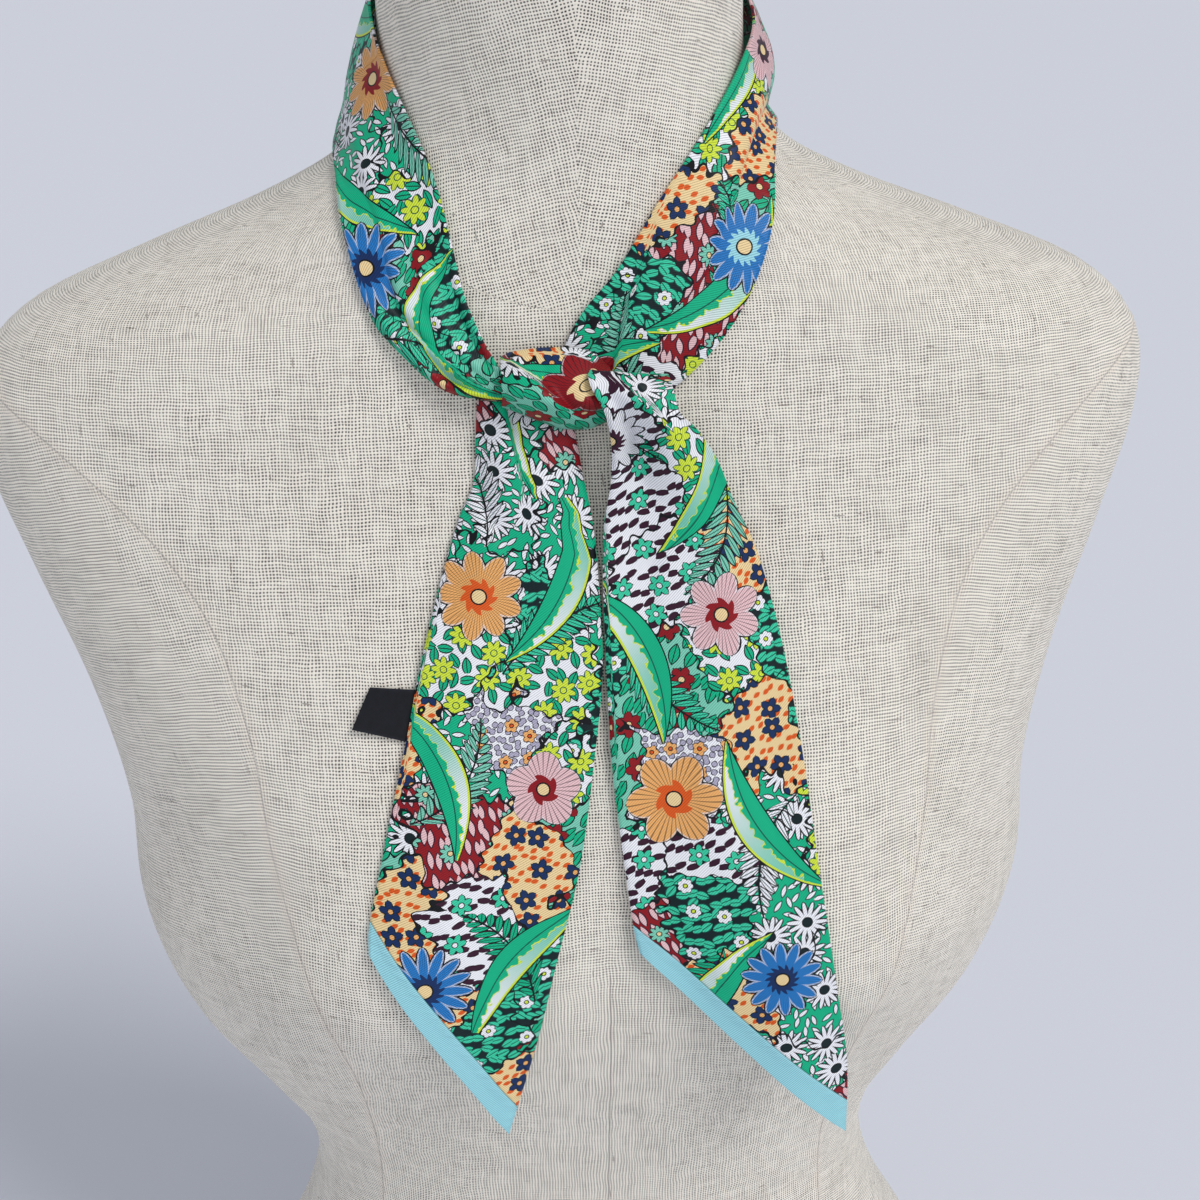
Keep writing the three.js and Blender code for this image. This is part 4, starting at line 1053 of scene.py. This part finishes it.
def makeBlades(nodes, place, colour, quick):
    _, _, leaf = leafInSlot(nodes, place, blades, blades["wide"])
    ragged = leaf["Side"] + (quick - 0.5) * 4.0
    pale = nodes.mix(nodes.fade(leaf["Along"], -0.8, 0.6), ink["white"], ink["mint"])
    fill = nodes.mix(ragged > -0.8, pale, ink["emerald"])
    fill = nodes.mix((ragged > -1.15) * (ragged < -0.8), fill, ink["lime"])
    fill = nodes.mix((leaf["Inside"] < 0.7) * (leaf["Side"] < 0.0), fill, ink["lime"])
    vein = abs(leaf["Side"] - 0.9) < 0.2
    return paint(nodes, colour, leaf["Inside"], nodes.mix(vein, fill, ink["deep"]), outline["blade"])


def makeSprigs(nodes, place, colour):
    # a curved stem with pairs of leaves that grow shorter towards its ends
    share, starts, stem = leafInSlot(nodes, place, sprigs, 1.0)
    out = abs(stem["Side"])
    length = (1.0 - stem["Along"] * stem["Along"]) * sprigs["leaf"]
    beside = nodes.ridge((stem["Along"] * sprigs["half"] - out * 0.8) / sprigs["step"]) * sprigs["step"]
    tip = out * 2.0 / nodes.most(length, 0.1) - 1.0
    inside = (1.0 - tip * tip) * 1.15 - beside
    fill = inksAt(nodes, share, starts, [("jade", "white", "emerald", "mint")[i % 4] for i in range(len(starts))])
    fill = nodes.mix(beside < 0.16, fill, ink["deep"])
    within = length > 0.4
    colour = paint(nodes, colour, inside, fill, outline["sprig"], where=within)
    return nodes.mix((out < 0.3) * within, colour, ink["line"])


def makeBlooms(nodes, place, colour):
    rows = [(*row[:5], row[5] * 10) for row in blooms["list"]]
    share, starts, local, (count, reach, wide, tip) = inSlot(nodes, place, blooms, rows)
    shape = nodes.use(petalsGroup, Local=local, Count=count, Reach=reach, Wide=wide, Tip=tip * 0.1, Turn=share * 40.0)
    petal, heart = (inksAt(nodes, share, starts, [row[column] for row in blooms["list"]]) for column in (6, 7))
    fill = nodes.mix((shape["Inside"] > 0.0) * (shape["Inside"] < 0.55) * 0.5, petal, ink["white"])
    stripe = nodes.math("SINE", shape["Side"] * 44.0) > 0.8
    fill = nodes.mix(stripe * 0.7, fill, ink["line"])
    near = shape["Radius"] < reach * nodes.fade(shape["Side"], -0.5, 0.5, 0.3, 0.42)
    colour = paint(nodes, colour, shape["Inside"], nodes.mix(near, fill, heart), outline["bloom"])
    return paint(nodes, colour, reach * 0.15 - shape["Radius"], ink["cream"], outline["bloom"])


def makePrint():
    nodes, start, end = newGroup("flowerPrint", {"Strip": plain}, {"Color": "Color"})
    place = start["Strip"]
    colour = makeGrounds(nodes, place, nodes.noise(place, 0.05))
    colour = makeSprigs(nodes, place, colour)
    colour = makeBlades(nodes, place, colour, nodes.noise(place, 0.4, 1.0))
    return nodes.give(end, {"Color": makeBlooms(nodes, place, colour)})


def makeTwill():
    nodes, start, end = newGroup("twillLines", {"Strip": plain, "Pitch": 0.6}, {"Line": "Float"})
    x, y, _ = nodes.split(start["Strip"])
    return nodes.give(end, {"Line": nodes.ridge((x * 0.75 + y * 0.66) / start["Pitch"])})


def makePrintedTwill():
    material, nodes, skin = newMaterial("printedTwill")
    strip, toEnd, toEdge = nodes.onCloth(), nodes.attribute("toEnd"), nodes.attribute("toEdge")
    colour = nodes.use(makePrint(), Strip=strip)["Color"]
    colour = nodes.mix(toEnd < twill["border"], colour, ink["sky"])
    seam = abs(toEnd - twill["border"])
    colour = nodes.mix(nodes.fade(seam, *twill["seamLine"]), colour, ink["deep"])
    line = nodes.use(makeTwill(), Strip=strip, Pitch=twill["pitch"])["Line"]
    # the sewn edges: rounded over, and drawn into small puckers by the thread
    x, y, _ = nodes.split(strip)
    pucker = nodes.noise(nodes.join(x * 0.42, y * 0.06), 1.0, 1.0)
    near = nodes.most(nodes.fade(toEdge, *twill["edgePucker"]), nodes.fade(seam, *twill["seamPucker"]))
    rounding = nodes.fade(toEdge, *twill["edgeRound"]) + nodes.fade(seam, *twill["seamRound"])
    drawn = nodes.bump(pucker * near * 0.9 + rounding, 0.001, 0.6)
    nodes.give(skin, {
        # the twill's furrows are darkened towards the line ink: painted shade
        "Base Color": nodes.mix(nodes.fade(line, 0.05, 0.25, twill["furrowShade"], 0.0), colour, ink["line"]),
        "Normal": nodes.bump(line, 0.0004, twill["bump"], Normal=drawn),
        "Roughness": twill["roughness"], "Specular IOR Level": 0.22, "Sheen Weight": 0.04, "Sheen Roughness": 0.3,
    })
    return material


cover(scarfPieces, makePrintedTwill())
print("print done")

# the care label's tape: its lower and upper edge, each from under the tail's edge to its free end
label = {
    "low": (-60, 436, -78, 440.6), "high": (-56.5, 451.4, -71.6, 452.8), "off": 1.15, "curl": 1.5, "cup": 0.35,
    "thick": 0.3, "rounding": 0.3, "lanes": 30, "steps": 36, "tape": (10, 11, 17), "rib": (30, 32, 42),
    "pitch": 0.42, "warp": 0.3,
}
labelWidth, labelLength = label["high"][1] - label["low"][1], label["low"][0] - label["low"][2]


def makeLabelLook():
    material, nodes, skin = newMaterial("labelTape")
    across, along, _ = nodes.split(nodes.onCloth())
    cloth = nodes.ridge(along / label["pitch"]) + nodes.ridge(across / label["warp"]) * 0.5
    uneven = nodes.noise(nodes.join(across, along), 0.5, 3.0)
    half = labelWidth / 2
    selvage = nodes.fade(abs(across - half), half - 1.0, half - 0.3, 0.0, 0.5)
    # the tape is lighter on the tops of its ribs, a painted sheen that shows unevenly, and lighter along its selvages
    share = cloth * uneven * 1.4 + selvage
    nodes.give(skin, {
        "Base Color": nodes.mix(share, linear(*label["tape"]), linear(*label["rib"])),
        "Normal": nodes.bump(cloth, 0.0003, 0.5), "Roughness": 0.6, "Specular IOR Level": 0.25,
    })
    return material


def makeLabel():
    def place(along, across):
        (lowX, lowZ), (highX, highZ) = (
            (sewnX + (freeX - sewnX) * along, sewnZ + (freeZ - sewnZ) * along)
            for sewnX, sewnZ, freeX, freeZ in (label["low"], label["high"]))
        x, z = lowX + (highX - lowX) * across, lowZ + (highZ - lowZ) * across
        # the free end lifts, more at its lower corner
        off = label["off"] + label["curl"] * along**2 * (1 - 0.6 * across) - label["cup"] * bowed(across) * along
        return Vector((x, formFront(x, z) - off, z))

    def flat(along, across):
        return across * labelWidth * mm, along * labelLength * mm

    piece = gridPiece("careLabel", label["lanes"], label["steps"], place, flat)
    thicken(piece, label["thick"], label["rounding"], even=False)
    cover([piece], makeLabelLook())
    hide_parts("care_label")
    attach(piece, "root")


makeLabel()
print("label done")

bpy.ops.object.select_all(action="DESELECT")
bpy.ops.mesh.primitive_plane_add(size=studio["floorSize"], location=(0, 0, 0))
floor = bpy.context.object
floor.name = "floor"
floorLook, _, floorSkin = newMaterial("floorLook")
floorSkin["Base Color"].default_value = linear(*studio["floorColour"])
floorSkin["Roughness"].default_value = studio["floorRoughness"]
cover([floor], floorLook)
print("floor done")
